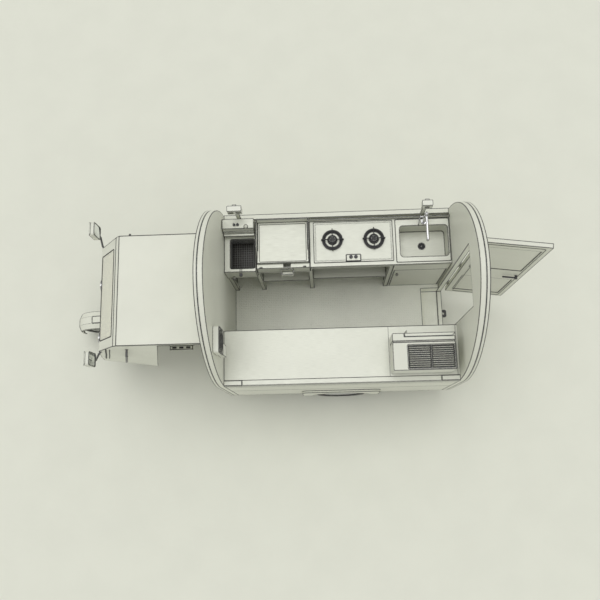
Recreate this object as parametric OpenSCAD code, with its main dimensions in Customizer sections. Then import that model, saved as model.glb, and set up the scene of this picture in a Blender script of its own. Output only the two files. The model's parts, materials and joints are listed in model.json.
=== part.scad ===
// Three-wheeled street food vehicle, drawn with its roof lifted off to show the kitchen.
// X runs from the cab to the rear door, Y from the serving side to the kitchen side, Z up.
// The origin is on the ground, in the middle of the vehicle with its rear door open.

/* [Body] */
// Inside length of the body between its end walls
body_length = 2100; // [2060:10:2300]
// Half of the outer width of the body
body_half_width = 800; // [790:5:840]
// Height of the lower edge of the body above the ground
skirt_bottom = 300; // [280:5:320]
// Height at which the arched profile leaves the upright sides
spring_height = 1212; // [1190:2:1260]
// Rise of the arch above the spring line
arch_rise = 1238; // [1180:2:1300]
// Fullness of the arch, where 2 is an ellipse
arch_power = 1.92; // [1.8:0.02:2.2]
// Thickness of each end wall
end_wall = 48; // [42:1:54]
// Thickness of the arch rims that cap the end walls
rim_depth = 28; // [20:1:36]
// Width of the arch rims
rim_width = 60; // [44:2:80]
// Thickness of each long side panel
side_wall = 50; // [44:1:56]
// Height of the kitchen floor above the ground
floor_height = 500; // [490:2:520]
// Thickness of the floor
floor_thickness = 40; // [34:1:46]
// Length of the flared panel round each rear wheel
flare_length = 774; // [720:2:820]
// Height of the flared panel above the lower edge of the body
flare_height = 340; // [324:2:380]
// How far the flared panel stands out from the side
flare_depth = 25; // [18:1:32]
// Height of the seam between the side panel and its skirt
belt_height = 813; // [780:1:860]
// Width and depth of the grooves pressed into the side panels
groove = 6; // [4:1:9]

/* [Rear doorway] */
// Lower edge of the doorway above the ground
doorway_bottom = 350; // [348:1:360]
// Upper edge of the doorway above the ground
doorway_top = 2100; // [2040:5:2140]
// Serving-side jamb, measured across from the middle of the body
doorway_near = -285; // [-300:1:-270]
// Kitchen-side jamb, measured across from the middle of the body
doorway_far = 230; // [222:1:240]
// Length of the step well in front of the doorway
well_length = 184; // [160:2:210]
// Thickness of the sheet round the step well and the wheel boxes
well_sheet = 8; // [5:1:9]
// Width of the door leaf
leaf_width = 585; // [575:1:600]
// Thickness of the door leaf
leaf_thickness = 42; // [36:1:48]
// How far the leaf laps over the doorway on its hinge side
hinge_lap = 50; // [44:1:60]
// How far the leaf laps over the doorway at its top and bottom
leaf_lap = 12; // [8:1:18]
// Gap between the closed leaf and the wall, taken up by the seal
leaf_gap = 5; // [4:1:8]
// Angle at which the door stands open in this drawing
leaf_open = 82.5; // [75:0.5:90]
// Radius of the hinge pins of the rear door
hinge_pin_r = 6; // [5:0.5:8]
// Outer radius of the hinge knuckles
knuckle_r = 11; // [10:0.5:14]
// Length of one hinge
hinge_length = 90; // [70:2:120]

/* [Wheels and frame] */
// Distance from the front end wall to the rear axle
rear_axle_x = 1060; // [1040:5:1080]
// Radius of the rear tyres
rear_tyre_r = 265; // [255:1:275]
// Width of the rear tyres
rear_tyre_width = 145; // [130:1:150]
// Radius of the front tyre
front_tyre_r = 250; // [240:1:258]
// Width of the front tyre
front_tyre_width = 128; // [110:1:136]
// Radius of the wheel rims
wheel_rim_r = 158; // [150:1:166]
// Distance from the front end wall forward to the front axle
front_wheel_reach = 1430; // [1420:2:1450]
// Rake of the steering axis from upright
rake = 25; // [23:0.5:27]
// Radius of the stub axles that carry the rear wheels
stub_r = 15; // [12:0.5:18]
// Radius of the front axle
front_axle_r = 10; // [8:0.5:12]
// Radius of the steering stem
stem_r = 17; // [14:0.5:20]
// Radial clearance of every running fit
fit = 0.05; // [0.02:0.01:0.1]
// Width of the main frame rails
rail_width = 60; // [50:1:66]
// Height of the main frame rails
rail_height = 100; // [80:2:110]
// Distance from the middle of the vehicle to the inner face of a main rail
rail_inner = 300; // [296:1:320]

/* [Cab] */
// Half of the width of the cab roof
roof_half_width = 483; // [470:1:500]
// Height of the top of the cab roof
roof_height = 1823; // [1800:1:1850]
// Thickness of the cab roof
roof_thickness = 38; // [30:1:44]
// Distance from the front end wall forward to the front edge of the cab roof
roof_reach = 845; // [830:1:860]
// Height of the foot of the windscreen
screen_foot_height = 1491; // [1470:1:1510]
// Distance from the front end wall forward to the foot of the windscreen
screen_foot_reach = 1095; // [1080:1:1110]
// Half of the width of the windscreen
screen_half_width = 386; // [370:1:392]
// Thickness of the windscreen
glass_thickness = 6; // [4:0.5:8]
// Lower edge of the cab nose
nose_bottom = 550; // [545:1:560]
// Distance from the front end wall forward to the lower edge of the nose
nose_reach = 1340; // [1330:1:1350]
// Thickness of the nose shell
nose_wall = 22; // [16:1:26]
// Half of the width of the cab floor
cab_floor_half = 290; // [280:1:296]
// Height of the seat above the cab floor
seat_rise = 320; // [290:5:340]
// Thickness of the seat cushion
cushion_thickness = 88; // [70:1:100]

/* [Kitchen] */
// Height of the worktops above the floor
counter_height = 850; // [830:5:870]
// Depth of both counters, front to back
counter_depth = 450; // [440:2:460]
// Gap between the kitchen counter and the side panel behind it
back_gap = 30; // [24:1:40]
// Length of the fryer unit
fryer_length = 300; // [290:1:310]
// Length of the griddle unit
griddle_length = 500; // [480:2:520]
// Thickness of the folded worktops
top_thickness = 30; // [24:1:36]
// Side of the square legs under the counters
leg = 40; // [32:1:44]
// Height of the upstand along the back of the kitchen counter
upstand = 42; // [30:1:55]
// Height of the control head of the fryer
fryer_head_height = 165; // [150:1:180]
// Height of the guard round the griddle plate
griddle_guard = 78; // [60:1:90]
// Radius of the pan supports
support_r = 96; // [88:1:102]
// Depth of the sink bowl
bowl_depth = 180; // [150:2:200]
// Height of the tap spout above the sink
tap_height = 215; // [190:1:240]
// Reach of the tap spout
spout_reach = 232; // [200:1:250]

/* [Counter oven] */
// Length of the counter-top oven
oven_length = 537; // [520:1:550]
// Depth of the counter-top oven
oven_depth = 322; // [312:1:334]
// Height of the counter-top oven
oven_height = 266; // [250:1:290]
// Number of slats in each row of the louvred top
slats = 10; // [6:1:12]
// Tilt of the slats
slat_tilt = 32; // [20:1:40]

/* [Hidden] */
$fn = 48;

// Clearance between separate pieces that only sit against each other
seat_gap = 0.3;
// Points along the arch of an end wall
arch_steps = 44;

// Levels and faces that several pieces share
counter_top = floor_height + counter_height;
floor_under = floor_height - floor_thickness;
side_inner = body_half_width - side_wall;
serving_back = -side_inner;
serving_front = serving_back + counter_depth;
kitchen_back = side_inner - back_gap;
kitchen_front = kitchen_back - counter_depth;
well_start = body_length - well_length;
rail_bottom = floor_under - rail_height;

// Rear door
leaf_x = body_length + end_wall + leaf_gap;
pivot_x = leaf_x + leaf_thickness;
pivot_y = doorway_far + hinge_lap;
leaf_bottom = doorway_bottom - leaf_lap;
leaf_top = doorway_top + leaf_lap;

// Front wheel and steering axis
fender_gap = 20;
fender_sheet = 5;
fender_r = front_tyre_r + fender_gap + fender_sheet;
fender_half = 92;
axis_x = sin(rake);
axis_z = cos(rake);
leg_y = 110;
fork_leg_r = 15;
crown_s = fender_r + 17;
crown_height = 25;
head_start = crown_s + crown_height + 28;
head_length = 140;
stem_top = 1080;
bar_half = 255;

// The frame's origin lies midway between the front fender and the open door
front_end = -front_wheel_reach - fender_r;
rear_end = pivot_x + leaf_width * sin(leaf_open);
body_x = -(front_end + rear_end) / 2;

module at_body() {
  translate([body_x, 0, 0]) children();
}

// Box from its lowest corner to its highest corner
module block(a, b) {
  translate(a) cube([b[0] - a[0], b[1] - a[1], b[2] - a[2]]);
}

// Rectangle with round corners, from one corner to the other
module round_rect(a, b, r) {
  union() {
    translate([a[0] + r, a[1]]) square([b[0] - a[0] - 2 * r, b[1] - a[1]]);
    translate([a[0], a[1] + r]) square([b[0] - a[0], b[1] - a[1] - 2 * r]);
    for (x = [a[0] + r, b[0] - r], y = [a[1] + r, b[1] - r]) translate([x, y]) circle(r);
  }
}

// Upright block with round corners in plan
module round_block(a, b, r) {
  translate([0, 0, a[2]]) linear_extrude(b[2] - a[2]) round_rect([a[0], a[1]], [b[0], b[1]], r);
}

// Flat shape drawn in Y and Z, made thick along X
module along_x(x0, x1) {
  translate([x0, 0, 0]) rotate([90, 0, 90]) linear_extrude(x1 - x0) children();
}

// Flat shape drawn in X and Z, made thick along Y
module along_y(y0, y1) {
  translate([0, y1, 0]) rotate([90, 0, 0]) linear_extrude(y1 - y0) children();
}

// Round bar between two points
module rod(a, b, r) {
  d = b - a;
  len = norm(d);
  translate(a) rotate([0, acos(d[2] / len), atan2(d[1], d[0])]) cylinder(h = len, r = r);
}

// Round bar along a list of points, with a joint a little fuller than the bar at each bend
module bent_rod(points, r) {
  for (i = [0 : len(points) - 2]) rod(points[i], points[i + 1], r);
  for (i = [1 : len(points) - 2]) translate(points[i]) sphere(r * 1.08);
}

// Two mirrored copies, one on each side of the vehicle
module both_sides() {
  children();
  mirror([0, 1, 0]) children();
}

// Pieces on the steering axis, drawn upright from the front axle
module on_steering_axis() {
  translate([-front_wheel_reach, 0, front_tyre_r]) rotate([0, rake, 0]) children();
}

// Outline of an end wall in Y and Z
function arch_points(inset = 0, bottom = skirt_bottom) =
  let (w = body_half_width - inset, h = arch_rise - inset, p = 2 / arch_power)
  concat(
    [[w, bottom]],
    [for (i = [0 : arch_steps])
      let (a = 180 * i / arch_steps, c = cos(a))
      [w * sign(c) * pow(abs(c), p), spring_height + h * pow(max(sin(a), 0), p)]],
    [[-w, bottom]]
  );

module arch_wall(x0, x1) {
  along_x(x0, x1) polygon(arch_points());
}

// Frame

spring_y0 = rail_inner + 5;
spring_y1 = rail_inner + rail_width - 5;
spring_half = 450;
eye_z = rail_bottom - 24;
eye_r = 13;
spring_pin_r = 6;
sub_rail_inner = 150;
sub_rail_outer = 200;
sub_rail_bottom = floor_under - 90;
neck_x = -1120;
neck_width = 55;
tow_eye_r = 12.5;
tow_plate = 12;
tow_z = skirt_bottom - 22;
tow_x = body_length + end_wall + 16;

module spring_hanger(x) {
  for (y = [spring_y0 - 5, spring_y1])
    block([x - 22, y, eye_z - 18], [x + 22, y + 5, rail_bottom]);
  translate([x, spring_y0 - 5, eye_z]) rotate([-90, 0, 0])
    cylinder(h = spring_y1 - spring_y0 + 10, r = spring_pin_r);
}

module head_tube() {
  on_steering_axis() translate([0, 0, head_start]) cylinder(h = head_length, r = stem_r + 9);
}

module chassis_frame() color("dimgray") at_body() difference() {
  union() {
    both_sides() {
      block([0, rail_inner, rail_bottom], [body_length, rail_inner + rail_width, floor_under]);
      block([neck_x, sub_rail_inner, sub_rail_bottom], [600, sub_rail_outer, floor_under]);
      spring_hanger(rear_axle_x - spring_half);
      spring_hanger(rear_axle_x + spring_half);
      rod([neck_x + 27, 75, sub_rail_bottom + 60],
        [-front_wheel_reach + (head_start + 70) * axis_x + 8, 12,
          front_tyre_r + (head_start + 70) * axis_z], 20);
    }
    for (x = [0, 540, 1400, 1840])
      block([x, -rail_inner, sub_rail_bottom], [x + 60, rail_inner, floor_under]);
    for (x = [neck_x, -600])
      block([x, -sub_rail_outer, sub_rail_bottom], [x + neck_width, sub_rail_outer, floor_under]);
    head_tube();
    block([1850, -40, tow_z], [1890, 40, sub_rail_bottom]);
    round_block([1850, -40, tow_z], [tow_x + 34, 40, tow_z + tow_plate], 20);
  }
  on_steering_axis() translate([0, 0, head_start - 60]) cylinder(h = head_length + 120, r = stem_r + fit);
  translate([tow_x, 0, tow_z - 1]) cylinder(h = tow_plate + 2, r = tow_eye_r);
}

// Body

wheel_box_half = rear_tyre_r + 38;
wheel_box_top = 2 * rear_tyre_r + 68;
wheel_box_inner = side_inner - 108;

module wheel_box() difference() {
  block([rear_axle_x - wheel_box_half - well_sheet, wheel_box_inner - well_sheet, floor_under],
    [rear_axle_x + wheel_box_half + well_sheet, side_inner, wheel_box_top + well_sheet]);
  block([rear_axle_x - wheel_box_half, wheel_box_inner, floor_under - 1],
    [rear_axle_x + wheel_box_half, side_inner + 1, wheel_box_top]);
}

well_floor = doorway_bottom - 6;

module floor_pan() color("gainsboro") at_body() union() {
  difference() {
    block([0, -side_inner, floor_under], [body_length, side_inner, floor_height]);
    block([well_start - well_sheet, doorway_near - well_sheet, floor_under - 1],
      [body_length + 1, doorway_far + well_sheet, floor_height + 1]);
    both_sides() block([rear_axle_x - wheel_box_half - 1, wheel_box_inner - 1, floor_under - 1],
      [rear_axle_x + wheel_box_half + 1, side_inner + 1, floor_height + 1]);
  }
  difference() {
    block([well_start - well_sheet, doorway_near - well_sheet, well_floor - well_sheet],
      [body_length, doorway_far + well_sheet, floor_height]);
    block([well_start, doorway_near, well_floor], [body_length + 1, doorway_far, floor_height + 1]);
  }
  both_sides() wheel_box();
}

fan_y = serving_back + 280;
fan_z = counter_top + 520;
fan_hole_r = 92;
fan_case = 110;
fan_depth = 52;

module front_end_wall() color("whitesmoke") at_body() difference() {
  arch_wall(-end_wall, 0);
  block([-end_wall - 1, -sub_rail_outer - 2, skirt_bottom - 1], [1, sub_rail_outer + 2, floor_under + 2]);
  translate([-end_wall - 1, fan_y, fan_z]) rotate([0, 90, 0]) cylinder(h = end_wall + 2, r = fan_hole_r);
}

// Round lamps in pairs, one above the other, on the rear end wall
lamp_r = 40;
lamp_levels = [610, 720];

module rear_lamps() both_sides() for (z = lamp_levels)
  translate([body_length + end_wall, body_half_width - 160, z]) rotate([0, 90, 0]) {
    cylinder(h = 10, r = lamp_r);
    cylinder(h = 18, r = lamp_r - 7);
  }

module hinge_at(z) {
  translate([pivot_x, pivot_y, z]) children();
}

hinge_levels = [leaf_bottom + 190, (leaf_bottom + leaf_top) / 2, leaf_top - 190];

module rear_end_wall() color("whitesmoke") at_body() {
  difference() {
    arch_wall(body_length, body_length + end_wall);
    block([body_length - 1, doorway_near, doorway_bottom],
      [body_length + end_wall + 1, doorway_far, doorway_top]);
  }
  for (z = hinge_levels) {
    block([body_length + end_wall, pivot_y + knuckle_r + 4, z - hinge_length / 2],
      [body_length + end_wall + 4, pivot_y + knuckle_r + 46, z + hinge_length / 2]);
    for (s = [0, 2]) difference() {
      translate([0, 0, z - hinge_length / 2 + s * hinge_length / 3]) linear_extrude(hinge_length / 3 - 0.4)
        union() {
          translate([pivot_x, pivot_y]) circle(knuckle_r);
          translate([body_length + end_wall, pivot_y + knuckle_r + 4]) square([leaf_gap + leaf_thickness, 5]);
          translate([pivot_x - 5, pivot_y]) square([10, knuckle_r + 9]);
        }
      translate([pivot_x, pivot_y, z - hinge_length]) cylinder(h = 2 * hinge_length, r = hinge_pin_r);
    }
    hinge_at(z - hinge_length / 2) cylinder(h = hinge_length, r = hinge_pin_r);
  }
}

module rim(x0, x1) difference() {
  arch_wall(x0, x1);
  along_x(x0 - 1, x1 + 1) polygon(arch_points(rim_width, skirt_bottom - 1));
}

module arch_rims() color("silver") at_body() {
  rim(-end_wall - rim_depth, -end_wall);
  rim(body_length + end_wall, body_length + end_wall + rim_depth);
}

sill_height = 26;
sill_groove_z = counter_top - 167;

module side_panel(top) difference() {
  union() {
    block([0, side_inner, skirt_bottom], [body_length, body_half_width, top]);
    along_y(body_half_width, body_half_width + flare_depth) difference() {
      round_rect([rear_axle_x - flare_length / 2, skirt_bottom],
        [rear_axle_x + flare_length / 2, skirt_bottom + flare_height], 60);
    }
    block([rear_axle_x - flare_length / 2, body_half_width, skirt_bottom],
      [rear_axle_x + flare_length / 2, body_half_width + flare_depth, skirt_bottom + 80]);
  }
  translate([rear_axle_x, side_inner - 1, rear_tyre_r]) rotate([-90, 0, 0])
    cylinder(h = side_wall + flare_depth + 2, r = rear_tyre_r + 24);
  for (z = [belt_height, sill_groove_z])
    block([-1, body_half_width - groove, z - groove / 2], [body_length + 1, body_half_width + 1, z + groove / 2]);
}

module serving_side_panel() color("whitesmoke") at_body() mirror([0, 1, 0]) side_panel(counter_top - sill_height);

module kitchen_side_panel() color("whitesmoke") at_body() side_panel(counter_top);

sill_block = 163;

module sill_rail() color("silver") at_body() {
  along_x(0, body_length) polygon([
    [serving_back, counter_top - sill_height], [serving_back, counter_top],
    [-body_half_width + 3, counter_top], [-body_half_width - 5, counter_top - 8],
    [-body_half_width - 5, counter_top - 44], [-body_half_width, counter_top - 44],
    [-body_half_width, counter_top - sill_height]
  ]);
  for (x = [0, body_length - sill_block])
    round_block([x, -body_half_width + 2, counter_top], [x + sill_block, serving_back - 4, counter_top + 14], 4);
}

// Rear door

handle_y = pivot_y - leaf_width + 62;
handle_z = 1190;
spindle_r = 9;

module opened_leaf() {
  translate([pivot_x, pivot_y, 0]) rotate([0, 0, leaf_open]) translate([-pivot_x, -pivot_y, 0]) children();
}

module rear_door() color("whitesmoke") at_body() opened_leaf() difference() {
  union() {
    difference() {
      block([leaf_x, pivot_y - leaf_width, leaf_bottom], [pivot_x, pivot_y - 3, leaf_top]);
      for (z = hinge_levels) translate([0, 0, z - hinge_length / 2 - 2]) linear_extrude(hinge_length + 4)
        translate([pivot_x, pivot_y]) circle(knuckle_r + 3);
      block([leaf_x - 1, pivot_y - leaf_width + 60, leaf_bottom + 120],
        [leaf_x + 5, pivot_y - 60, handle_z - 160]);
      block([leaf_x - 1, pivot_y - leaf_width + 60, handle_z + 160],
        [leaf_x + 5, pivot_y - 60, leaf_top - 120]);
    }
    for (z = hinge_levels) translate([0, 0, z - hinge_length / 6 + 0.4]) linear_extrude(hinge_length / 3 - 0.8)
      union() {
        translate([pivot_x, pivot_y]) circle(knuckle_r);
        translate([pivot_x, pivot_y - 50]) square([5, 50]);
        translate([pivot_x - 5, pivot_y - 24]) square([8, 24]);
      }
  }
  for (z = hinge_levels) hinge_at(z - hinge_length) cylinder(h = 2 * hinge_length, r = hinge_pin_r + fit);
  translate([leaf_x - 1, handle_y, handle_z]) rotate([0, 90, 0])
    cylinder(h = leaf_thickness + 2, r = spindle_r + fit);
}

module lever(x, side) {
  translate([x, handle_y, handle_z]) rotate([0, 90 * side, 0]) {
    cylinder(h = 34, r = 13);
    translate([0, 0, 22]) rotate([-90, 0, 0]) cylinder(h = 118, r = 8);
    translate([0, 118, 22]) sphere(8 * 1.08);
  }
}

module door_handle() color("dimgray") at_body() opened_leaf() {
  translate([leaf_x - 4, handle_y, handle_z]) rotate([0, 90, 0]) cylinder(h = leaf_thickness + 8, r = spindle_r);
  lever(pivot_x + seat_gap, 1);
  lever(leaf_x - seat_gap, -1);
}

// Wheels and axles

wheel_mid = body_half_width + 20 - rear_tyre_width / 2;
hub_half = 52;
drum_r = 104;

module rear_axle() color("dimgray") at_body() translate([rear_axle_x, 0, rear_tyre_r]) {
  rotate([-90, 0, 0]) translate([0, 0, -wheel_mid + hub_half + 14])
    cylinder(h = 2 * (wheel_mid - hub_half - 14), r = 32);
  rotate([-90, 0, 0]) translate([0, 0, -wheel_mid - hub_half + 4])
    cylinder(h = 2 * (wheel_mid + hub_half - 4), r = stub_r);
  rotate([-90, 0, 0]) translate([0, 0, -95]) cylinder(h = 190, r = 88);
  rotate([-90, 0, 0]) translate([0, 0, 95]) cylinder(h = 30, r1 = 88, r2 = 44);
  rotate([-90, 0, 0]) translate([0, 0, -125]) cylinder(h = 30, r1 = 44, r2 = 88);
  translate([-40, 0, 0]) rotate([0, -90, 0]) cylinder(h = 150, r = 62);
  both_sides() {
    block([-48, spring_y0, 0], [48, spring_y1, eye_z - 36 - rear_tyre_r]);
    rotate([-90, 0, 0]) translate([0, 0, wheel_mid - hub_half - 42]) cylinder(h = 36, r = drum_r);
  }
}

module leaf(k) {
  bow = 36;
  half = spring_half - 95 * k;
  radius = (spring_half * spring_half + bow * bow) / (2 * bow);
  along_y(spring_y0, spring_y1) intersection() {
    difference() {
      translate([rear_axle_x, eye_z - 36 + radius + 14 - 7 * k]) circle(r = radius, $fn = 360);
      translate([rear_axle_x, eye_z - 36 + radius + 14 - 7 * k]) circle(r = radius - 7, $fn = 360);
    }
    translate([rear_axle_x - half, eye_z - 60]) square([2 * half, 90]);
  }
}

module leaf_springs() color("dimgray") at_body() both_sides() difference() {
  union() {
    for (k = [0, 1, 2]) leaf(k);
    block([rear_axle_x - 48, spring_y0, eye_z - 36], [rear_axle_x + 48, spring_y1, eye_z - 8]);
    for (s = [-1, 1]) translate([rear_axle_x + s * spring_half, spring_y0 + seat_gap, eye_z])
      rotate([-90, 0, 0]) cylinder(h = spring_y1 - spring_y0 - 2 * seat_gap, r = eye_r);
  }
  for (s = [-1, 1]) translate([rear_axle_x + s * spring_half, spring_y0 - 1, eye_z])
    rotate([-90, 0, 0]) cylinder(h = spring_y1 - spring_y0 + 2, r = spring_pin_r + fit);
}

// Share of the tyre's width that sits between the flanges of the rim
bead_share = 0.78;

// Side of the tyre, as shares of its section height and of its half width
tyre_side = [[0.18, 0.93], [0.42, 1], [0.68, 0.97], [0.86, 0.86], [0.95, 0.72], [1, 0.42]];

// Tyre section, turned about the axle
module tyre(r, width) {
  h = width / 2;
  b = h * bead_share;
  foot = wheel_rim_r + 13;
  half = [for (t = tyre_side) [foot + (r - foot) * t[0], h * t[1]]];
  rotate([90, 0, 0]) rotate_extrude($fn = 96) polygon(concat(
    [[wheel_rim_r + seat_gap, b], [foot, b]], half,
    [for (i = [len(half) - 1 : -1 : 0]) [half[i][0], -half[i][1]]],
    [[foot, -b], [wheel_rim_r + seat_gap, -b]]
  ));
}

// Pressed wheel with rim flanges, dished disc and hub, turned about the axle
module wheel(width, hub, bore, bolts, bolt_circle) difference() {
  b = width / 2 * bead_share + seat_gap;
  w = wheel_rim_r;
  union() {
    rotate([90, 0, 0]) rotate_extrude($fn = 96) polygon([
      [w - 6, -b - 5], [w + 9, -b - 5], [w + 9, -b], [w, -b], [w, b], [w + 9, b], [w + 9, b + 5], [w - 6, b + 5]
    ]);
    rotate([90, 0, 0]) rotate_extrude($fn = 96) polygon([
      [bore + 15, -7], [w * 0.6, -16], [w * 0.78, -4], [w - 5, -4], [w - 5, 4], [w * 0.76, 4],
      [w * 0.6, -8], [bore + 15, 1]
    ]);
    rotate([90, 0, 0]) translate([0, 0, -hub]) cylinder(h = 2 * hub, r = bore + 21);
  }
  rotate([90, 0, 0]) translate([0, 0, -hub - 1]) cylinder(h = 2 * hub + 2, r = bore + fit);
  for (i = [0 : 7]) rotate([0, i * 45 + 22, 0]) translate([w * 0.84, 0, 0])
    rotate([90, 0, 0]) translate([0, 0, -20]) cylinder(h = 40, r = 9, $fn = 24);
  for (i = [0 : bolts - 1]) rotate([0, i * 360 / bolts, 0]) translate([bolt_circle, 0, 0])
    rotate([90, 0, 0]) translate([0, 0, -30]) cylinder(h = 60, r = 6, $fn = 24);
}

module left_tyre() color("black") at_body() translate([rear_axle_x, -wheel_mid, rear_tyre_r])
  tyre(rear_tyre_r, rear_tyre_width);
module left_wheel() color("silver") at_body() translate([rear_axle_x, -wheel_mid, rear_tyre_r])
  wheel(rear_tyre_width, hub_half, stub_r, 4, 58);
module right_tyre() color("black") at_body() translate([rear_axle_x, wheel_mid, rear_tyre_r])
  tyre(rear_tyre_r, rear_tyre_width);
module right_wheel() color("silver") at_body() translate([rear_axle_x, wheel_mid, rear_tyre_r])
  wheel(rear_tyre_width, hub_half, stub_r, 4, 58);

front_hub_half = 94;

module front_tyre() color("black") at_body() translate([-front_wheel_reach, 0, front_tyre_r])
  tyre(front_tyre_r, front_tyre_width);
module front_wheel() color("silver") at_body() translate([-front_wheel_reach, 0, front_tyre_r])
  wheel(front_tyre_width, front_hub_half, front_axle_r, 4, 54);

module steering_fork() color("dimgray") at_body() on_steering_axis() {
  both_sides() {
    translate([0, leg_y, 0]) cylinder(h = crown_s + 5, r = fork_leg_r);
    translate([0, leg_y - 14, 0]) rotate([-90, 0, 0]) cylinder(h = 28, r = 22);
  }
  translate([0, -leg_y - 26, 0]) rotate([-90, 0, 0]) cylinder(h = 2 * leg_y + 52, r = front_axle_r);
  round_block([-25, -leg_y - 18, crown_s], [25, leg_y + 18, crown_s + crown_height], 12);
  translate([0, 0, crown_s]) cylinder(h = stem_top - crown_s, r = stem_r);
  translate([0, 0, crown_s + crown_height]) cylinder(h = 27.7, r = stem_r + 8);
  translate([0, 0, head_start + head_length + seat_gap]) cylinder(h = 16, r = stem_r + 8);
}

module handlebar() color("dimgray") at_body() on_steering_axis() {
  difference() {
    translate([0, 0, stem_top - 30]) cylinder(h = 58, r = stem_r + 8);
    translate([0, 0, stem_top - 31]) cylinder(h = 31 + seat_gap, r = stem_r + fit);
  }
  both_sides() {
    bent_rod([[0, 0, stem_top + 14], [8, 90, stem_top + 34], [52, bar_half - 110, stem_top + 34],
      [52, bar_half, stem_top + 34]], 11);
    translate([52, bar_half - 92, stem_top + 34]) rotate([-90, 0, 0]) cylinder(h = 100, r = 16);
  }
}

// Fender over the front wheel, with folded edges and the pad under the crown
module front_fender() color("whitesmoke") at_body() translate([-front_wheel_reach, 0, front_tyre_r]) {
  s = fender_sheet;
  rotate([90, 0, 0]) rotate([0, 0, -12]) rotate_extrude(angle = 204, $fn = 96) polygon([
    [fender_r - 44, -fender_half], [fender_r - 22, -fender_half], [fender_r, -36], [fender_r, 36],
    [fender_r - 22, fender_half], [fender_r - 44, fender_half], [fender_r - 44, fender_half - s],
    [fender_r - 22 - s, fender_half - s], [fender_r - s, 36 - s], [fender_r - s, s - 36],
    [fender_r - 22 - s, s - fender_half], [fender_r - 44, s - fender_half]
  ]);
  rotate([90, 0, 0]) rotate([0, 0, 58]) rotate_extrude(angle = 46, $fn = 96)
    translate([fender_r - 1, -36]) square([9, 72]);
  both_sides() rotate([0, rake, 0]) translate([0, fender_half - s, fender_r - 34]) rotate([-90, 0, 0])
    cylinder(h = leg_y - fork_leg_r - fender_half + s, r = 9);
}

// Cab

floor_sheet = 25;
toe_top = 980;
cab_floor_top = floor_under + floor_sheet;
seat_front = -480;
seat_top = cab_floor_top + seat_rise;
seat_half = 262;
seat_sheet = 12;
step_x0 = -688;
step_x1 = -449;

// One level of the nose: half plan with a round front corner, mirrored across the middle
function nose_half(front, half_front, rear, half_rear, corner) = concat(
  [[rear, half_rear]],
  [for (a = [90 : -18 : 0]) [front + corner - corner * cos(90 - a), half_front - corner + corner * sin(a)]]
);
function flip(points) = [for (i = [len(points) - 1 : -1 : 0]) [points[i][0], -points[i][1]]];

// Height of the short upright band at each level of the nose
level_band = 2;

module nose_level(z, front, half_front, rear, half_rear, corner) {
  half = nose_half(front, half_front, rear, half_rear, corner);
  translate([0, 0, z]) linear_extrude(level_band) polygon(concat(half, flip(half)));
}

// Full outer form of the cab, shrunk evenly for its inner face
module nose_form(t) hull() {
  nose_level(nose_bottom - (t > 0 ? 1 : 0), -nose_reach + t, 430 - t, -560, 535 - t, 60);
  nose_level(1000, -1226 + t, 462 - t, -560, 528 - t, 80);
  nose_level(screen_foot_height, -screen_foot_reach + t, 476 - t, -450, 492 - t, 88);
  nose_level(roof_height - roof_thickness - level_band + (t > 0 ? 3 : 0), -roof_reach - 39 + t * 1.4,
    481 - t, -300, 483 - t, 45);
}

// Everything behind the raked edge where the open entrance begins
module entrance() {
  along_y(-600, 600) polygon([[-789, nose_bottom - 5], [-470, roof_height + 80], [0, roof_height + 80],
    [0, nose_bottom - 5]]);
}

// Where the mirror arms and the grab handles pass through the nose shell
arm_in = [-1050, 426, 1458];
arm_out = [-1101, 500, 1474];
arm_r = 9;
grab_top = [-800, 1650];
grab_foot = [-900, 1290];
grab_in = 452;
grab_r = 10;

screen_tilt = atan2(screen_foot_reach - roof_reach - 39, roof_height - roof_thickness - screen_foot_height);
screen_height = 322;

module on_screen() {
  translate([-screen_foot_reach, 0, screen_foot_height]) rotate([0, screen_tilt, 0]) children();
}

module screen_shape(grow, x0, x1) {
  on_screen() along_x(x0, x1)
    round_rect([-screen_half_width - grow, 14 - grow], [screen_half_width + grow, screen_height + grow], 12);
}

module cab_nose() color("whitesmoke") at_body() {
  difference() {
    nose_form(0);
    nose_form(nose_wall);
    entrance();
    screen_shape(seat_gap, -60, 80);
    along_x(-1500, -1150) round_rect([-165, nose_bottom - 60], [165, nose_bottom + 125], 40);
    both_sides() {
      rod(arm_in, arm_out, arm_r + seat_gap);
      for (g = [grab_top, grab_foot]) translate([g[0], grab_in - 30, g[1]]) rotate([-90, 0, 0])
        cylinder(h = 120, r = grab_r + seat_gap);
    }
    both_sides() translate([-1400, 262, 905]) rotate([0, 90, 0]) cylinder(h = 260, r = 66 + seat_gap);
  }
  intersection() {
    nose_form(nose_wall / 2);
    block([-1300, -600, 1390], [-975, 600, 1412]);
  }
}

module cab_floor() color("gray") at_body() {
  block([neck_x + neck_width + 5, -cab_floor_half, floor_under], [-end_wall, cab_floor_half, cab_floor_top]);
  intersection() {
    nose_form(nose_wall + seat_gap);
    block([-1058, -600, nose_bottom], [-1040, 600, toe_top]);
  }
  block([-1058, -cab_floor_half, floor_under], [-1040, cab_floor_half, nose_bottom + 40]);
  both_sides() block([step_x0, cab_floor_half, floor_under - 4], [step_x1, cab_floor_half + 45, cab_floor_top]);
  difference() {
    block([seat_front, -seat_half, cab_floor_top], [-end_wall - seat_gap, seat_half, seat_top]);
    block([seat_front + seat_sheet, -seat_half + seat_sheet, cab_floor_top - 1],
      [-end_wall - seat_gap - seat_sheet, seat_half - seat_sheet, seat_top - seat_sheet]);
    for (z = [cab_floor_top + 70 : 34 : seat_top - 60])
      along_x(seat_front - 1, seat_front + seat_sheet + 1) round_rect([-150, z], [150, z + 12], 5.5);
  }
}

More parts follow.
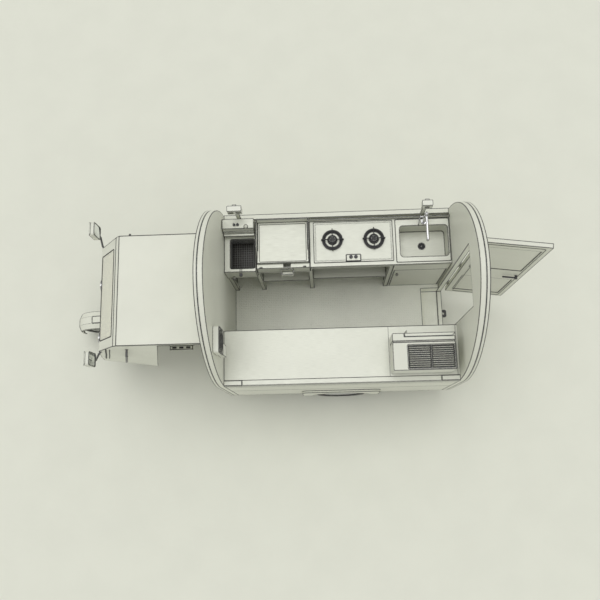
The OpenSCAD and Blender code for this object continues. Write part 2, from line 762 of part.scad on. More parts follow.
module battery_pack() color("darkslategray") at_body() {
  round_block([seat_front + 40, -seat_half + 50, cab_floor_top],
    [-end_wall - 50, seat_half - 50, cab_floor_top + 210], 14);
  for (y = [-90, 90]) translate([-230, y, cab_floor_top + 210]) cylinder(h = 22, r = 11);
}

module cab_roof() color("whitesmoke") at_body() {
  x0 = -roof_reach;
  drop = roof_thickness;
  along_y(-roof_half_width, roof_half_width) polygon([
    [x0, roof_height], [x0 - 39, roof_height - drop], [-end_wall - seat_gap, roof_height - drop],
    [-end_wall - seat_gap, roof_height]
  ]);
}

module windscreen() color("lightblue") at_body() intersection() {
  screen_shape(0, -60, 80);
  on_screen() block([0.8, -600, -20], [0.8 + glass_thickness, 600, 600]);
}

back_pad_bottom = seat_top + cushion_thickness + 30;

module seat_cushions() color("dimgray") at_body() {
  round_block([seat_front + 6, -seat_half + 8, seat_top + seat_gap],
    [-end_wall - 84, seat_half - 8, seat_top + cushion_thickness], 40);
  along_x(-end_wall - 78, -end_wall - seat_gap)
    round_rect([-seat_half + 8, back_pad_bottom], [seat_half - 8, back_pad_bottom + 390], 40);
}

mirror_x0 = -1128;
mirror_x1 = -1078;
mirror_y0 = 513;
mirror_y1 = 632;
mirror_z0 = 1612;
mirror_z1 = 1794;
mirror_pin_r = 6;
mirror_pin = [(mirror_x0 + mirror_x1) / 2 + 6, 560];

module mirror_head() difference() {
  intersection() {
    along_y(mirror_y0, mirror_y1) polygon([[mirror_x1, mirror_z0], [mirror_x1, mirror_z1],
      [mirror_x0 + 16, mirror_z1], [mirror_x0, mirror_z1 - 16], [mirror_x0, mirror_z0 + 16],
      [mirror_x0 + 16, mirror_z0]]);
    along_x(mirror_x0 - 1, mirror_x1 + 1) round_rect([mirror_y0, mirror_z0], [mirror_y1, mirror_z1], 20);
  }
  along_x(mirror_x1 - 4, mirror_x1 + 1) round_rect([mirror_y0 + 8, mirror_z0 + 8],
    [mirror_y1 - 8, mirror_z1 - 8], 14);
  translate([mirror_pin[0], mirror_pin[1], mirror_z0 - 1]) cylinder(h = 61, r = mirror_pin_r + fit);
}

module left_mirror() color("dimgray") at_body() mirror([0, 1, 0]) mirror_head();
module right_mirror() color("dimgray") at_body() mirror_head();

module mirror_arms() color("dimgray") at_body() both_sides() {
  bent_rod([arm_in, arm_out, [mirror_pin[0], mirror_pin[1], 1552], [mirror_pin[0], mirror_pin[1], mirror_z0 - 8]],
    arm_r);
  translate([mirror_pin[0], mirror_pin[1], mirror_z0 - 12]) cylinder(h = 70, r = mirror_pin_r);
  translate([mirror_pin[0], mirror_pin[1], mirror_z0 - 12]) cylinder(h = 12 - seat_gap, r = 14);
}

module lamps() color("lightyellow") at_body() {
  rear_lamps();
  both_sides() translate([-1268, 262, 905]) rotate([0, -90, 0]) {
    translate([0, 0, -60]) cylinder(h = 72, r = 66);
    translate([0, 0, 12]) intersection() {
      translate([0, 0, -110]) sphere(r = 128);
      cylinder(h = 40, r = 66);
    }
  }
}

module grab_handles() color("dimgray") at_body() both_sides()
  bent_rod([[grab_top[0], grab_in, grab_top[1]], [grab_top[0], 545, grab_top[1]],
    [grab_foot[0], 545, grab_foot[1]], [grab_foot[0], grab_in, grab_foot[1]]], grab_r);

// Kitchen counter

griddle_start = fryer_length;
hob_start = fryer_length + griddle_length;
cabinet_start = 1572;
under_top = counter_top - top_thickness;
fryer_bottom = counter_top - 220;
griddle_bottom = counter_top - 128;
cabinet_sheet = 18;
apron_bottom = counter_top - 209;
rear_leg_y = wheel_box_inner - well_sheet - leg - 4;
shelf_low = counter_top - 493;
shelf_high = counter_top - 439;

module kitchen_leg(x, y, top) {
  block([x, y, floor_height], [x + leg, y + leg, top]);
}

module kitchen_frame() color("silver") at_body() union() {
  for (y = [kitchen_front, rear_leg_y]) {
    hob_rail = y == kitchen_front ? under_top : counter_top - 76;
    kitchen_leg(0, y, fryer_bottom);
    kitchen_leg(griddle_start - leg / 2, y, fryer_bottom);
    kitchen_leg(hob_start - leg / 2, y, griddle_bottom);
    kitchen_leg(cabinet_start - leg - 2, y, hob_rail);
    block([0, y, fryer_bottom - 34], [griddle_start, y + 34, fryer_bottom]);
    block([griddle_start, y, griddle_bottom - 34], [hob_start, y + 34, griddle_bottom]);
    block([griddle_start, y, fryer_bottom - 34], [griddle_start + leg / 2, y + 34, griddle_bottom]);
    block([hob_start + leg / 2, y, hob_rail - 34], [cabinet_start - leg, y + 34, hob_rail]);
    block([hob_start, y, griddle_bottom - 34], [hob_start + leg / 2, y + 34, under_top]);
  }
  for (x = [0, griddle_start - leg / 2, hob_start - leg / 2, cabinet_start - leg - 2])
    block([x, kitchen_front, floor_height + 60], [x + 30, rear_leg_y + leg, floor_height + 90]);
  block([griddle_start + leg / 2, kitchen_front, shelf_low - 24], [hob_start - leg / 2, rear_leg_y + leg, shelf_low]);
  block([hob_start + leg / 2, kitchen_front, shelf_high - 24],
    [cabinet_start - leg - 2, rear_leg_y + leg, shelf_high]);
}

hob_x0 = hob_start + 36;
hob_x1 = hob_x0 + 734;
hob_y0 = kitchen_front + 38;
hob_y1 = kitchen_back - 22;
hob_cut = 14;
sink_x0 = cabinet_start + 22;
sink_x1 = body_length - 8;
sink_y0 = kitchen_front + 20;
sink_y1 = kitchen_back - 18;
bowl_x0 = sink_x0 + 42;
bowl_x1 = sink_x1 - 18;
bowl_y0 = sink_y0 + 52;
bowl_y1 = sink_y1 - 66;
bowl_corner = 34;
bowl_sheet = 3;

module worktop() color("silver") at_body() difference() {
  union() {
    block([hob_start, kitchen_front, under_top], [body_length, kitchen_back, counter_top]);
    along_x(0, body_length) polygon([[kitchen_back, counter_top], [kitchen_back, counter_top + upstand],
      [kitchen_back - 9, counter_top + upstand], [kitchen_back - 9, counter_top]]);
    along_x(0, hob_start) polygon([[kitchen_back, counter_top - 60], [kitchen_back, counter_top],
      [kitchen_back - 9, counter_top], [kitchen_back - 9, counter_top - 60]]);
  }
  block([hob_x0 + hob_cut, hob_y0 + hob_cut, under_top - 1],
    [hob_x1 - hob_cut, hob_y1 - hob_cut, counter_top + 1]);
  round_block([bowl_x0 - 6, bowl_y0 - 6, under_top - 1], [bowl_x1 + 6, bowl_y1 + 6, counter_top + 1],
    bowl_corner);
}

burner_x = [hob_x0 + 175, hob_x0 + 558];
burner_y = (hob_y0 + hob_y1) / 2 + 18;
control_x0 = hob_x0 + 298;
control_x1 = control_x0 + 132;
control_y0 = hob_y0 + 8;
control_y1 = control_y0 + 62;
control_height = 8;
hob_sheet = 4;
hob_top = counter_top + seat_gap + hob_sheet;
hob_knob_r = 17;
hob_knob_x = [control_x0 + 43, control_x0 + 88];
hob_knob_y = control_y0 + 38;
knob_pin_r = 4;
burner_r = 46;

module hob_plate() color("whitesmoke") at_body() difference() {
  union() {
    round_block([hob_x0, hob_y0, counter_top + seat_gap], [hob_x1, hob_y1, hob_top], 10);
    difference() {
      block([hob_x0 + hob_cut + 2, hob_y0 + hob_cut + 2, counter_top - 70],
        [hob_x1 - hob_cut - 2, hob_y1 - hob_cut - 2, counter_top + seat_gap]);
      block([hob_x0 + hob_cut + 6, hob_y0 + hob_cut + 6, counter_top - 66],
        [hob_x1 - hob_cut - 6, hob_y1 - hob_cut - 6, counter_top + 1]);
    }
    for (x = burner_x) translate([x, burner_y, hob_top]) cylinder(h = 3, r = burner_r + 22);
    round_block([control_x0, control_y0, hob_top], [control_x1, control_y1, hob_top + control_height], 5);
    for (x = hob_knob_x) translate([x, hob_knob_y, hob_top]) cylinder(h = control_height + 14, r = knob_pin_r);
  }
  for (x = burner_x) translate([x, burner_y, counter_top - 10]) cylinder(h = 30, r = burner_r - 12);
}

// Burner with a toothed ring and a domed cap, turned about its own middle
module burner() {
  difference() {
    rotate_extrude() polygon([[22, -40], [30, -40], [30, 0], [burner_r, 0], [burner_r + 2, 4], [burner_r, 16],
      [burner_r - 6, 18], [22, 18]]);
    for (a = [0 : 15 : 359]) rotate([0, 0, a]) translate([burner_r - 8, -1.5, 8]) cube([14, 3, 12]);
  }
  translate([0, 0, 18]) rotate_extrude() polygon([[0, 0], [burner_r - 12, 0], [burner_r - 10, 3],
    [burner_r - 12, 7], [burner_r - 20, 10], [0, 11]]);
}

module burners() color("dimgray") at_body()
  for (x = burner_x) translate([x, burner_y, hob_top + 3 + seat_gap]) burner();

support_height = 36;

module pan_supports() color("black") at_body() for (x = burner_x)
  translate([x, burner_y, hob_top + seat_gap]) union() {
    rotate_extrude() translate([support_r - 14, 8]) square([14, 10]);
    for (a = [0 : 90 : 270]) rotate([0, 0, a]) along_y(-4, 4) polygon([
      [support_r - 12, 0], [support_r - 2, 0], [support_r + 9, 18], [support_r + 9, support_height - 3],
      [support_r + 6, support_height], [30, support_height], [30, support_height - 4],
      [support_r - 18, support_height - 14], [support_r - 12, 12]
    ]);
  }

// Round control knob with a grip ridge, bored for its spindle
module knob(r, height, bore_depth) difference() {
  union() {
    cylinder(h = height * 0.3, r = r);
    translate([0, 0, height * 0.3]) cylinder(h = height * 0.7, r1 = r * 0.88, r2 = r * 0.78);
    translate([-r * 0.2, -r * 0.8, height]) cube([r * 0.4, r * 1.6, 3]);
  }
  translate([0, 0, -1]) cylinder(h = bore_depth + 1, r = knob_pin_r + fit);
}

module hob_knob_left() color("black") at_body()
  translate([hob_knob_x[0], hob_knob_y, hob_top + control_height + seat_gap]) knob(hob_knob_r, 18, 14);
module hob_knob_right() color("black") at_body()
  translate([hob_knob_x[1], hob_knob_y, hob_top + control_height + seat_gap]) knob(hob_knob_r, 18, 14);

waste_r = 20;
tap_x = bowl_x0 + 224;
tap_y = sink_y1 - 30;
sink_top = counter_top + seat_gap + 3;
drain_x = (bowl_x0 + bowl_x1) / 2;
drain_y = (bowl_y0 + bowl_y1) / 2;

module sink_bowl() color("silver") at_body() difference() {
  union() {
    round_block([sink_x0, sink_y0, counter_top + seat_gap], [sink_x1, sink_y1, sink_top], 14);
    round_block([bowl_x0 - bowl_sheet, bowl_y0 - bowl_sheet, counter_top - bowl_depth - bowl_sheet],
      [bowl_x1 + bowl_sheet, bowl_y1 + bowl_sheet, counter_top + seat_gap], bowl_corner);
    translate([drain_x, drain_y, counter_top - bowl_depth - 120]) cylinder(h = 118, r = waste_r);
  }
  round_block([bowl_x0, bowl_y0, counter_top - bowl_depth], [bowl_x1, bowl_y1, sink_top + 1],
    bowl_corner - bowl_sheet);
  translate([drain_x, drain_y, counter_top - bowl_depth - 121]) cylinder(h = 130, r = waste_r - 3);
  translate([drain_x, drain_y, counter_top - bowl_depth - 2]) cylinder(h = 4, r = waste_r + 12);
}

riser_r = 16;
collar_z = sink_top + tap_height - 26;

module tap_body() color("silver") at_body() {
  translate([tap_x, tap_y, sink_top]) cylinder(h = 8, r = 26);
  translate([tap_x, tap_y, sink_top + 8]) cylinder(h = collar_z - sink_top - 8, r = riser_r);
  translate([tap_x, tap_y, collar_z]) cylinder(h = 34, r = 9);
  translate([tap_x, tap_y, collar_z - 44]) rotate([0, -90, 0]) cylinder(h = riser_r + 20, r = 13);
  translate([tap_x - riser_r - 20, tap_y, collar_z - 44]) rotate([0, -90, 0]) cylinder(h = 12, r = 5);
}

module tap_spout() color("silver") at_body() translate([tap_x, tap_y, collar_z + seat_gap]) difference() {
  union() {
    cylinder(h = 38, r = riser_r + 3);
    translate([0, 0, 38]) sphere(riser_r + 3);
    translate([0, 0, 22]) rotate([90, 0, 0]) cylinder(h = spout_reach, r = 13);
    translate([0, -spout_reach, 22]) sphere(13);
    translate([0, -spout_reach, -8]) cylinder(h = 30, r = 13);
  }
  translate([0, 0, -1]) cylinder(h = 36, r = 9 + fit);
  translate([0, -spout_reach, -9]) cylinder(h = 24, r = 9);
}

module tap_lever() color("silver") at_body() translate([tap_x - riser_r - 20 - seat_gap, tap_y, collar_z - 44]) {
  difference() {
    rotate([0, -90, 0]) cylinder(h = 14, r = 12);
    translate([1, 0, 0]) rotate([0, -90, 0]) cylinder(h = 13.5, r = 5 + fit);
  }
  translate([-14, 0, 0]) rotate([0, 0, -14]) rotate([78, 0, 0]) translate([0, 0, 8]) linear_extrude(78)
    round_rect([-6, -4], [6, 4], 3);
}

module sink_cabinet() color("gainsboro") at_body() union() {
  c = cabinet_sheet;
  difference() {
    block([cabinet_start, kitchen_front, floor_height], [body_length - 3, kitchen_back - 2, under_top]);
    block([cabinet_start + c, kitchen_front - 1, floor_height + c],
      [body_length - 3 - c, kitchen_back - 2 - c, under_top + 1]);
  }
  block([cabinet_start + c, kitchen_front, apron_bottom], [body_length - 3 - c, kitchen_front + 14, under_top]);
  translate([body_length - 3 - c - 14, kitchen_front + 9, floor_height + c]) cylinder(h = 6, r = 5);
}

cabinet_pivot_x = body_length - 3 - cabinet_sheet - 14;

module cabinet_door() color("gainsboro") at_body() difference() {
  union() {
    round_block([cabinet_start + cabinet_sheet + 2, kitchen_front, floor_height + cabinet_sheet + seat_gap],
      [cabinet_pivot_x + 10, kitchen_front + cabinet_sheet, apron_bottom - 2], 3);
    translate([cabinet_start + 52, kitchen_front - 20, apron_bottom - 120]) rotate([-90, 0, 0])
      cylinder(h = 21, r = 6);
    translate([cabinet_start + 52, kitchen_front - 26, apron_bottom - 120]) rotate([-90, 0, 0])
      cylinder(h = 14, r1 = 11, r2 = 15);
  }
  translate([cabinet_pivot_x, kitchen_front + 9, floor_height]) cylinder(h = 28, r = 5 + fit);
}

// Fryer

fryer_x0 = 4;
fryer_x1 = fryer_length - 3;
fryer_front = kitchen_front - 22;
fryer_back = kitchen_back - 10;
tank_x0 = fryer_x0 + 56;
tank_x1 = fryer_x1 - 6;
tank_y0 = fryer_front + 32;
tank_y1 = tank_y0 + 282;
tank_depth = 172;
head_y = tank_y1 + 36;
fryer_knob_x = [fryer_x0 + 114, fryer_x0 + 146];
fryer_knob_y = head_y + 52;
fryer_knob_r = 13;
head_top = counter_top + fryer_head_height;

module fryer_body() color("silver") at_body() difference() {
  union() {
    block([fryer_x0, fryer_front, fryer_bottom], [fryer_x1, fryer_back, counter_top]);
    translate([fryer_x0 + 70, fryer_front, fryer_bottom + 40]) rotate([90, 0, 0]) cylinder(h = 34, r = 11);
    translate([fryer_x0 + 70, fryer_front - 24, fryer_bottom + 40]) cylinder(h = 30, r = 6);
    translate([fryer_x0 + 44, fryer_front - 28, fryer_bottom + 66]) cube([52, 9, 6]);
  }
  round_block([tank_x0, tank_y0, counter_top - tank_depth], [tank_x1, tank_y1, counter_top + 1], 18);
}

module fryer_head() color("silver") at_body() union() {
  along_x(fryer_x0 + 2, fryer_x1 - 2) polygon([
    [fryer_back - 2, counter_top + seat_gap], [fryer_back - 2, head_top], [head_y + 18, head_top - 6],
    [head_y + 10, head_top - 60], [head_y, head_top - 66], [head_y, counter_top + 66],
    [head_y - 24, counter_top + 60], [head_y - 26, counter_top + 52], [head_y, counter_top + 57],
    [head_y, counter_top + seat_gap]
  ]);
  for (x = fryer_knob_x) translate([x, fryer_knob_y, head_top - 8]) cylinder(h = 22, r = knob_pin_r);
  translate([fryer_x0 + 220, head_y + 34, head_top - 6]) sphere(17);
}

module fryer_knob_left() color("black") at_body()
  translate([fryer_knob_x[0], fryer_knob_y, head_top + seat_gap]) knob(fryer_knob_r, 17, 15);
module fryer_knob_right() color("black") at_body()
  translate([fryer_knob_x[1], fryer_knob_y, head_top + seat_gap]) knob(fryer_knob_r, 17, 15);

basket_gap = 6;
basket_top = counter_top + seat_gap;
basket_depth = 132;
basket_sheet = 2;
slot = 10;

module fryer_basket() color("dimgray") at_body() {
  x0 = tank_x0 + basket_gap;
  x1 = tank_x1 - basket_gap;
  y0 = tank_y0 + basket_gap;
  y1 = tank_y1 - basket_gap;
  z0 = basket_top - basket_depth;
  s = basket_sheet;
  nx = floor((x1 - x0 - slot) / (2 * slot));
  ny = floor((y1 - y0 - slot) / (2 * slot));
  difference() {
    block([x0, y0, z0], [x1, y1, basket_top + 3]);
    block([x0 + s, y0 + s, z0 + s], [x1 - s, y1 - s, basket_top + 4]);
    for (i = [0 : nx - 1]) block([x0 + slot + 2 * slot * i, y0 - 1, z0 + slot],
      [x0 + 2 * slot + 2 * slot * i, y1 + 1, basket_top - slot]);
    for (i = [0 : ny - 1]) block([x0 - 1, y0 + slot + 2 * slot * i, z0 + slot],
      [x1 + 1, y0 + 2 * slot + 2 * slot * i, basket_top - slot]);
    for (i = [0 : nx - 1]) block([x0 + slot + 2 * slot * i, y0 + slot, z0 - 1],
      [x0 + 2 * slot + 2 * slot * i, y1 - slot, z0 + s + 1]);
  }
  for (y = [tank_y0 - 8, y1]) block([x0 + 10, y, basket_top], [x0 + 40, y + 14, basket_top + 3]);
  for (y = [tank_y0 - 8, y1]) block([x1 - 40, y, basket_top], [x1 - 10, y + 14, basket_top + 3]);
  for (x = [fryer_x0 + 145, fryer_x0 + 167])
    union() {
      block([x - 3, y0, basket_top - 30], [x + 3, y0 + s, basket_top + 18]);
      block([x - 3, fryer_front - 40, basket_top + 12], [x + 3, y0 + s, basket_top + 18]);
    }
  round_block([fryer_x0 + 140, fryer_front - 50, basket_top + 4], [fryer_x0 + 172, fryer_front - 18,
    basket_top + 30], 6);
}

// Griddle

griddle_x0 = griddle_start + 5;
griddle_x1 = hob_start - 3;
griddle_top = counter_top + 38;
plate_x0 = griddle_x0 + 4;
plate_x1 = griddle_x1 - 4;
plate_y0 = kitchen_front + 44;
plate_y1 = kitchen_back - 12;
guard = 30;
drawer_x0 = griddle_x0 + 226;
drawer_x1 = drawer_x0 + 110;
drawer_z0 = counter_top - 82;
drawer_z1 = counter_top - 20;
drawer_back = kitchen_front + 220;

module griddle_body() color("silver") at_body() difference() {
  union() {
    block([griddle_x0, kitchen_front, griddle_bottom], [griddle_x1, kitchen_back - 10, counter_top + 6]);
    block([griddle_x0 + 6, plate_y0, counter_top + 6], [griddle_x1 - 6, kitchen_back - 12, griddle_top - 12]);
    for (x = [griddle_x0 + 30, griddle_x1 - 60])
      block([x, kitchen_front + 4, counter_top + 6], [x + 22, kitchen_front + 12, counter_top + 16]);
  }
  block([drawer_x0 - 1, kitchen_front - 1, drawer_z0 - 1], [drawer_x1 + 1, drawer_back, drawer_z1 + 1]);
  block([drawer_x0 + 24, kitchen_front + 10, drawer_z1], [drawer_x1 - 24, kitchen_front + 40, counter_top + 7]);
}

module griddle_plate() color("gray") at_body() union() {
  block([plate_x0, plate_y0, griddle_top - 12 + seat_gap], [plate_x1, plate_y1, griddle_top]);
  block([plate_x0, plate_y1 - 5, griddle_top], [plate_x1, plate_y1, griddle_top + griddle_guard]);
  for (x = [plate_x0, plate_x1 - 5]) along_x(x, x + 5) polygon([
    [plate_y1, griddle_top], [plate_y1, griddle_top + griddle_guard],
    [plate_y0 + 130, griddle_top + griddle_guard], [plate_y0 + 40, griddle_top + 14], [plate_y0, griddle_top]
  ]);
  for (x = [plate_x0 + 5, plate_x1 - 11]) block([x, plate_y0 + 120, griddle_top],
    [x + 6, plate_y1 - 5, griddle_top + 8]);
}

module grease_drawer() color("dimgray") at_body() {
  t = 4;
  difference() {
    block([drawer_x0, kitchen_front + seat_gap, drawer_z0], [drawer_x1, drawer_back - 4, drawer_z1]);
    block([drawer_x0 + t, kitchen_front + t, drawer_z0 + t], [drawer_x1 - t, drawer_back - 4 - t, drawer_z1 + 1]);
  }
  difference() {
    round_block([drawer_x0 - 6, kitchen_front - 58, drawer_z0 - 4], [drawer_x1 + 6, kitchen_front - seat_gap,
      drawer_z1 + 4], 14);
    round_block([drawer_x0 + 2, kitchen_front - 50, drawer_z0 + 6], [drawer_x1 - 2, kitchen_front - 10,
      drawer_z1 + 5], 8);
  }
  block([drawer_x0 + 20, kitchen_front - 1, drawer_z0], [drawer_x1 - 20, kitchen_front + 1, drawer_z1 - 4]);
}

// Serving counter

end_lip = 20;

module serving_counter() color("silver") at_body() union() {
  difference() {
    block([0, serving_back, under_top], [body_length, serving_front, counter_top]);
    block([3, serving_back + 3, under_top - 1], [body_length - 3, serving_front - 3, counter_top - 3]);
    block([oven_x0 - 10, serving_back - 1, counter_top - 1], [oven_x0 - 8, serving_front + 1, counter_top + 1]);
  }
  block([body_length - end_lip, serving_back, counter_top],
    [body_length - end_lip + 4, serving_front, counter_top + 6]);
  for (x = [3, 700, 1384, body_length - 43], y = [-rear_leg_y - leg, serving_front - 3 - leg])
    block([x, y, floor_height], [x + leg, y + leg, counter_top - 3]);
  block([3, -rear_leg_y - leg, floor_height + 330],
    [body_length - 3, serving_front - 3, floor_height + 350]);
  for (x = [3, 700, 1384, body_length - 43])
    block([x, -rear_leg_y, counter_top - 43], [x + leg, serving_front - 3 - leg, counter_top - 3]);
  block([3, serving_front - 8, floor_height + 350], [700, serving_front - 3, counter_top - 3]);
}

// Counter-top oven

oven_x0 = body_length - oven_length - 70;
oven_x1 = oven_x0 + oven_length;
oven_y0 = serving_back + 20;
oven_y1 = oven_y0 + oven_depth;
oven_z0 = counter_top + 12;
oven_z1 = counter_top + oven_height;
oven_door = 32;
oven_front = oven_y1 - oven_door;
panel_length = 104;
oven_wall = 26;
grille_x0 = oven_x0 + 133;
grille_x1 = oven_x1 - 14;
grille_y0 = oven_y0 + 18;
grille_y1 = grille_y0 + 194;
oven_hinge_x = oven_x1 - 9;
oven_hinge_y = oven_y1 - 9;
oven_pin_r = 4;
slat_pitch = (grille_y1 - grille_y0 - 12) / slats;

module microwave_case() color("gainsboro") at_body() {
  difference() {
    union() {
      round_block([oven_x0, oven_y0, oven_z0], [oven_x1, oven_front - 48, oven_z1], 12);
      block([oven_x0 + 3, oven_front - 60, oven_z0], [oven_x1 - 3, oven_front - 36, oven_z1 - 7]);
      block([oven_x0, oven_front - 36, oven_z0], [oven_x1, oven_front, oven_z1 - 3]);
      round_block([oven_x0, oven_front - 20, oven_z0], [oven_x0 + panel_length, oven_y1, oven_z1 - 3], 9);
    }
    block([oven_x0 + panel_length + 8, oven_y0 + 30, oven_z0 + oven_wall],
      [oven_x1 - oven_wall, oven_front + 1, oven_z1 - 46]);
    block([oven_x0 + panel_length - 1, oven_front, oven_z0 - 1], [oven_x1 + 1, oven_y1 + 1, oven_z1]);
    block([grille_x0, grille_y0, oven_z1 - 26], [grille_x1, grille_y1, oven_z1 + 1]);
  }
  difference() {
    round_block([grille_x0 - 8, grille_y0 - 8, oven_z1], [grille_x1 + 8, grille_y1 + 8, oven_z1 + 3], 8);
    block([grille_x0, grille_y0, oven_z1 - 1], [grille_x1, grille_y1, oven_z1 + 4]);
  }
  block([(grille_x0 + grille_x1) / 2 - 4, grille_y0, oven_z1 - 20],
    [(grille_x0 + grille_x1) / 2 + 4, grille_y1, oven_z1 + 3]);
  for (i = [0 : slats - 1])
    translate([grille_x0, grille_y0 + 6 + slat_pitch * (i + 0.5), oven_z1 - 8]) rotate([slat_tilt, 0, 0])
      translate([0, -slat_pitch * 0.42, -1.5]) cube([grille_x1 - grille_x0, slat_pitch * 0.84, 3]);
  for (x = [oven_x0 + 40, oven_x1 - 40], y = [oven_y0 + 40, oven_front - 50])
    translate([x, y, counter_top]) cylinder(h = oven_z0 - counter_top, r = 14);
  block([oven_x1 - 20, oven_front - 1, oven_z0], [oven_x1, oven_y1, oven_z0 + 6]);
  translate([oven_hinge_x, oven_hinge_y, oven_z0]) cylinder(h = 18, r = oven_pin_r);
  translate([oven_x0 + 65, oven_y1 - 2, oven_z0 + 90]) rotate([-90, 0, 0]) cylinder(h = 14, r = knob_pin_r);
}

module microwave_door() color("dimgray") at_body() difference() {
  union() {
    translate([0, 0, oven_z0 + 6 + seat_gap]) linear_extrude(oven_z1 - oven_z0 - 11 - seat_gap) polygon([
      [oven_x0 + panel_length + 2, oven_front + seat_gap], [oven_hinge_x - 12, oven_front + seat_gap],
      [oven_x1, oven_hinge_y - 4], [oven_x1, oven_y1 - 3], [oven_x1 - 3, oven_y1],
      [oven_x0 + panel_length + 2, oven_y1]
    ]);
    bent_rod([[oven_x0 + panel_length + 26, oven_y1 - 2, oven_z0 + 50],
      [oven_x0 + panel_length + 26, oven_y1 + 26, oven_z0 + 58],
      [oven_x0 + panel_length + 26, oven_y1 + 26, oven_z1 - 66],
      [oven_x0 + panel_length + 26, oven_y1 - 2, oven_z1 - 58]], 6);
  }
  translate([oven_hinge_x, oven_hinge_y, oven_z0]) cylinder(h = 19, r = oven_pin_r + fit);
  along_y(oven_y1 - 4, oven_y1 + 1) round_rect([oven_x0 + panel_length + 52, oven_z0 + 44],
    [oven_x1 - 40, oven_z1 - 44], 12);
}

module microwave_knob() color("dimgray") at_body()
  translate([oven_x0 + 65, oven_y1 + seat_gap, oven_z0 + 90]) rotate([-90, 0, 0]) knob(18, 14, 12.5);

// Sockets on slim uprights, where the cut-away wall would carry them

socket_y0 = side_inner - 52;
double_x = [82, 212];
single_x = [body_length - 295, body_length - 200];

module socket(x0, x1, z, holes) difference() {
  round_block([x0, socket_y0, z], [x1, side_inner, z + 84], 6);
  for (i = [0 : holes - 1]) translate([x0 + (x1 - x0) * (i + 0.5) / holes, socket_y0 - 1, z + 40])
    rotate([-90, 0, 0]) cylinder(h = 17, r = 20);
}

module wall_sockets() color("whitesmoke") at_body() {
  socket(double_x[0], double_x[1], counter_top + 315, 2);
  socket(single_x[0], single_x[1], counter_top + 290, 1);
  block([(double_x[0] + double_x[1]) / 2 - 18, side_inner, counter_top],
    [(double_x[0] + double_x[1]) / 2 + 18, side_inner + 14, counter_top + 390]);
  block([(single_x[0] + single_x[1]) / 2 - 18, side_inner, counter_top],
    [(single_x[0] + single_x[1]) / 2 + 18, side_inner + 14, counter_top + 365]);
}

// Extractor fan on the front end wall

fan_shaft_r = 5;

module extractor_housing() color("gainsboro") at_body() {
  translate([seat_gap, 0, 0]) difference() {
    along_x(0, fan_depth) round_rect([fan_y - fan_case, fan_z - fan_case], [fan_y + fan_case, fan_z + fan_case], 26);
    translate([-1, fan_y, fan_z]) rotate([0, 90, 0]) cylinder(h = fan_depth + 2, r = fan_hole_r);
  }
  translate([seat_gap, fan_y, fan_z]) {
    for (a = [0, 90]) rotate([a, 0, 0]) block([0, -fan_hole_r - 1, -7], [6, fan_hole_r + 1, 7]);
    rotate([0, 90, 0]) cylinder(h = 22, r = 26);
    rotate([0, 90, 0]) cylinder(h = 40, r = fan_shaft_r);
    translate([fan_depth - 4, 0, 0]) rotate([0, 90, 0]) for (r = [30, 60])
      difference() {
        cylinder(h = 3, r = r + 3);
        translate([0, 0, -1]) cylinder(h = 5, r = r);
      }
    for (a = [0 : 45 : 179]) rotate([a, 0, 0]) block([fan_depth - 4, -fan_hole_r - 1, -2], [fan_depth - 1, fan_hole_r + 1, 2]);
  }
  along_x(seat_gap, 50) round_rect([fan_y - 98, fan_z - fan_case - 216], [fan_y + 2, fan_z - fan_case], 8);
}

module extractor_fan() color("dimgray") at_body() translate([seat_gap + 23, fan_y, fan_z]) difference() {
  rotate([0, 90, 0]) union() {
    cylinder(h = 18, r = 24);
    for (i = [0 : 5]) rotate([0, 0, i * 60]) rotate([24, 0, 0]) translate([14, -15, 7]) cube([66, 30, 2.5]);
  }
  translate([-1, 0, 0]) rotate([0, 90, 0]) cylinder(h = 21, r = fan_shaft_r + fit);
}

chassis_frame();
floor_pan();
front_end_wall();
rear_end_wall();
arch_rims();
serving_side_panel();
kitchen_side_panel();
sill_rail();
rear_door();
door_handle();
rear_axle();
leaf_springs();
left_tyre();
left_wheel();
right_tyre();
right_wheel();
battery_pack();
steering_fork();
handlebar();
front_fender();
front_tyre();
front_wheel();
cab_floor();
cab_nose();
cab_roof();
windscreen();
seat_cushions();
left_mirror();
right_mirror();
mirror_arms();
lamps();
grab_handles();
fryer_body();
fryer_head();
fryer_basket();
fryer_knob_left();
fryer_knob_right();
griddle_body();
griddle_plate();
grease_drawer();
worktop();
hob_plate();
burners();
pan_supports();
hob_knob_left();
hob_knob_right();
sink_bowl();
tap_body();
tap_spout();
tap_lever();
kitchen_frame();
sink_cabinet();
cabinet_door();
serving_counter();
microwave_case();
microwave_door();
microwave_knob();
wall_sockets();
extractor_housing();
extractor_fan();
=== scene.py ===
"""Looks of the three-wheeled street food vehicle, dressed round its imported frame.

Lengths in the sub-assemblies are millimetres from the front end wall (X), the
middle of the vehicle (Y) and the ground (Z), as in the part's source. Spot turns
them into the frame's metres.
"""

import json
import logging
import math
from dataclasses import dataclass, replace
from enum import Enum
from typing import Callable, Iterable, Sequence

import bmesh
import bpy
from mathutils import Matrix, Vector

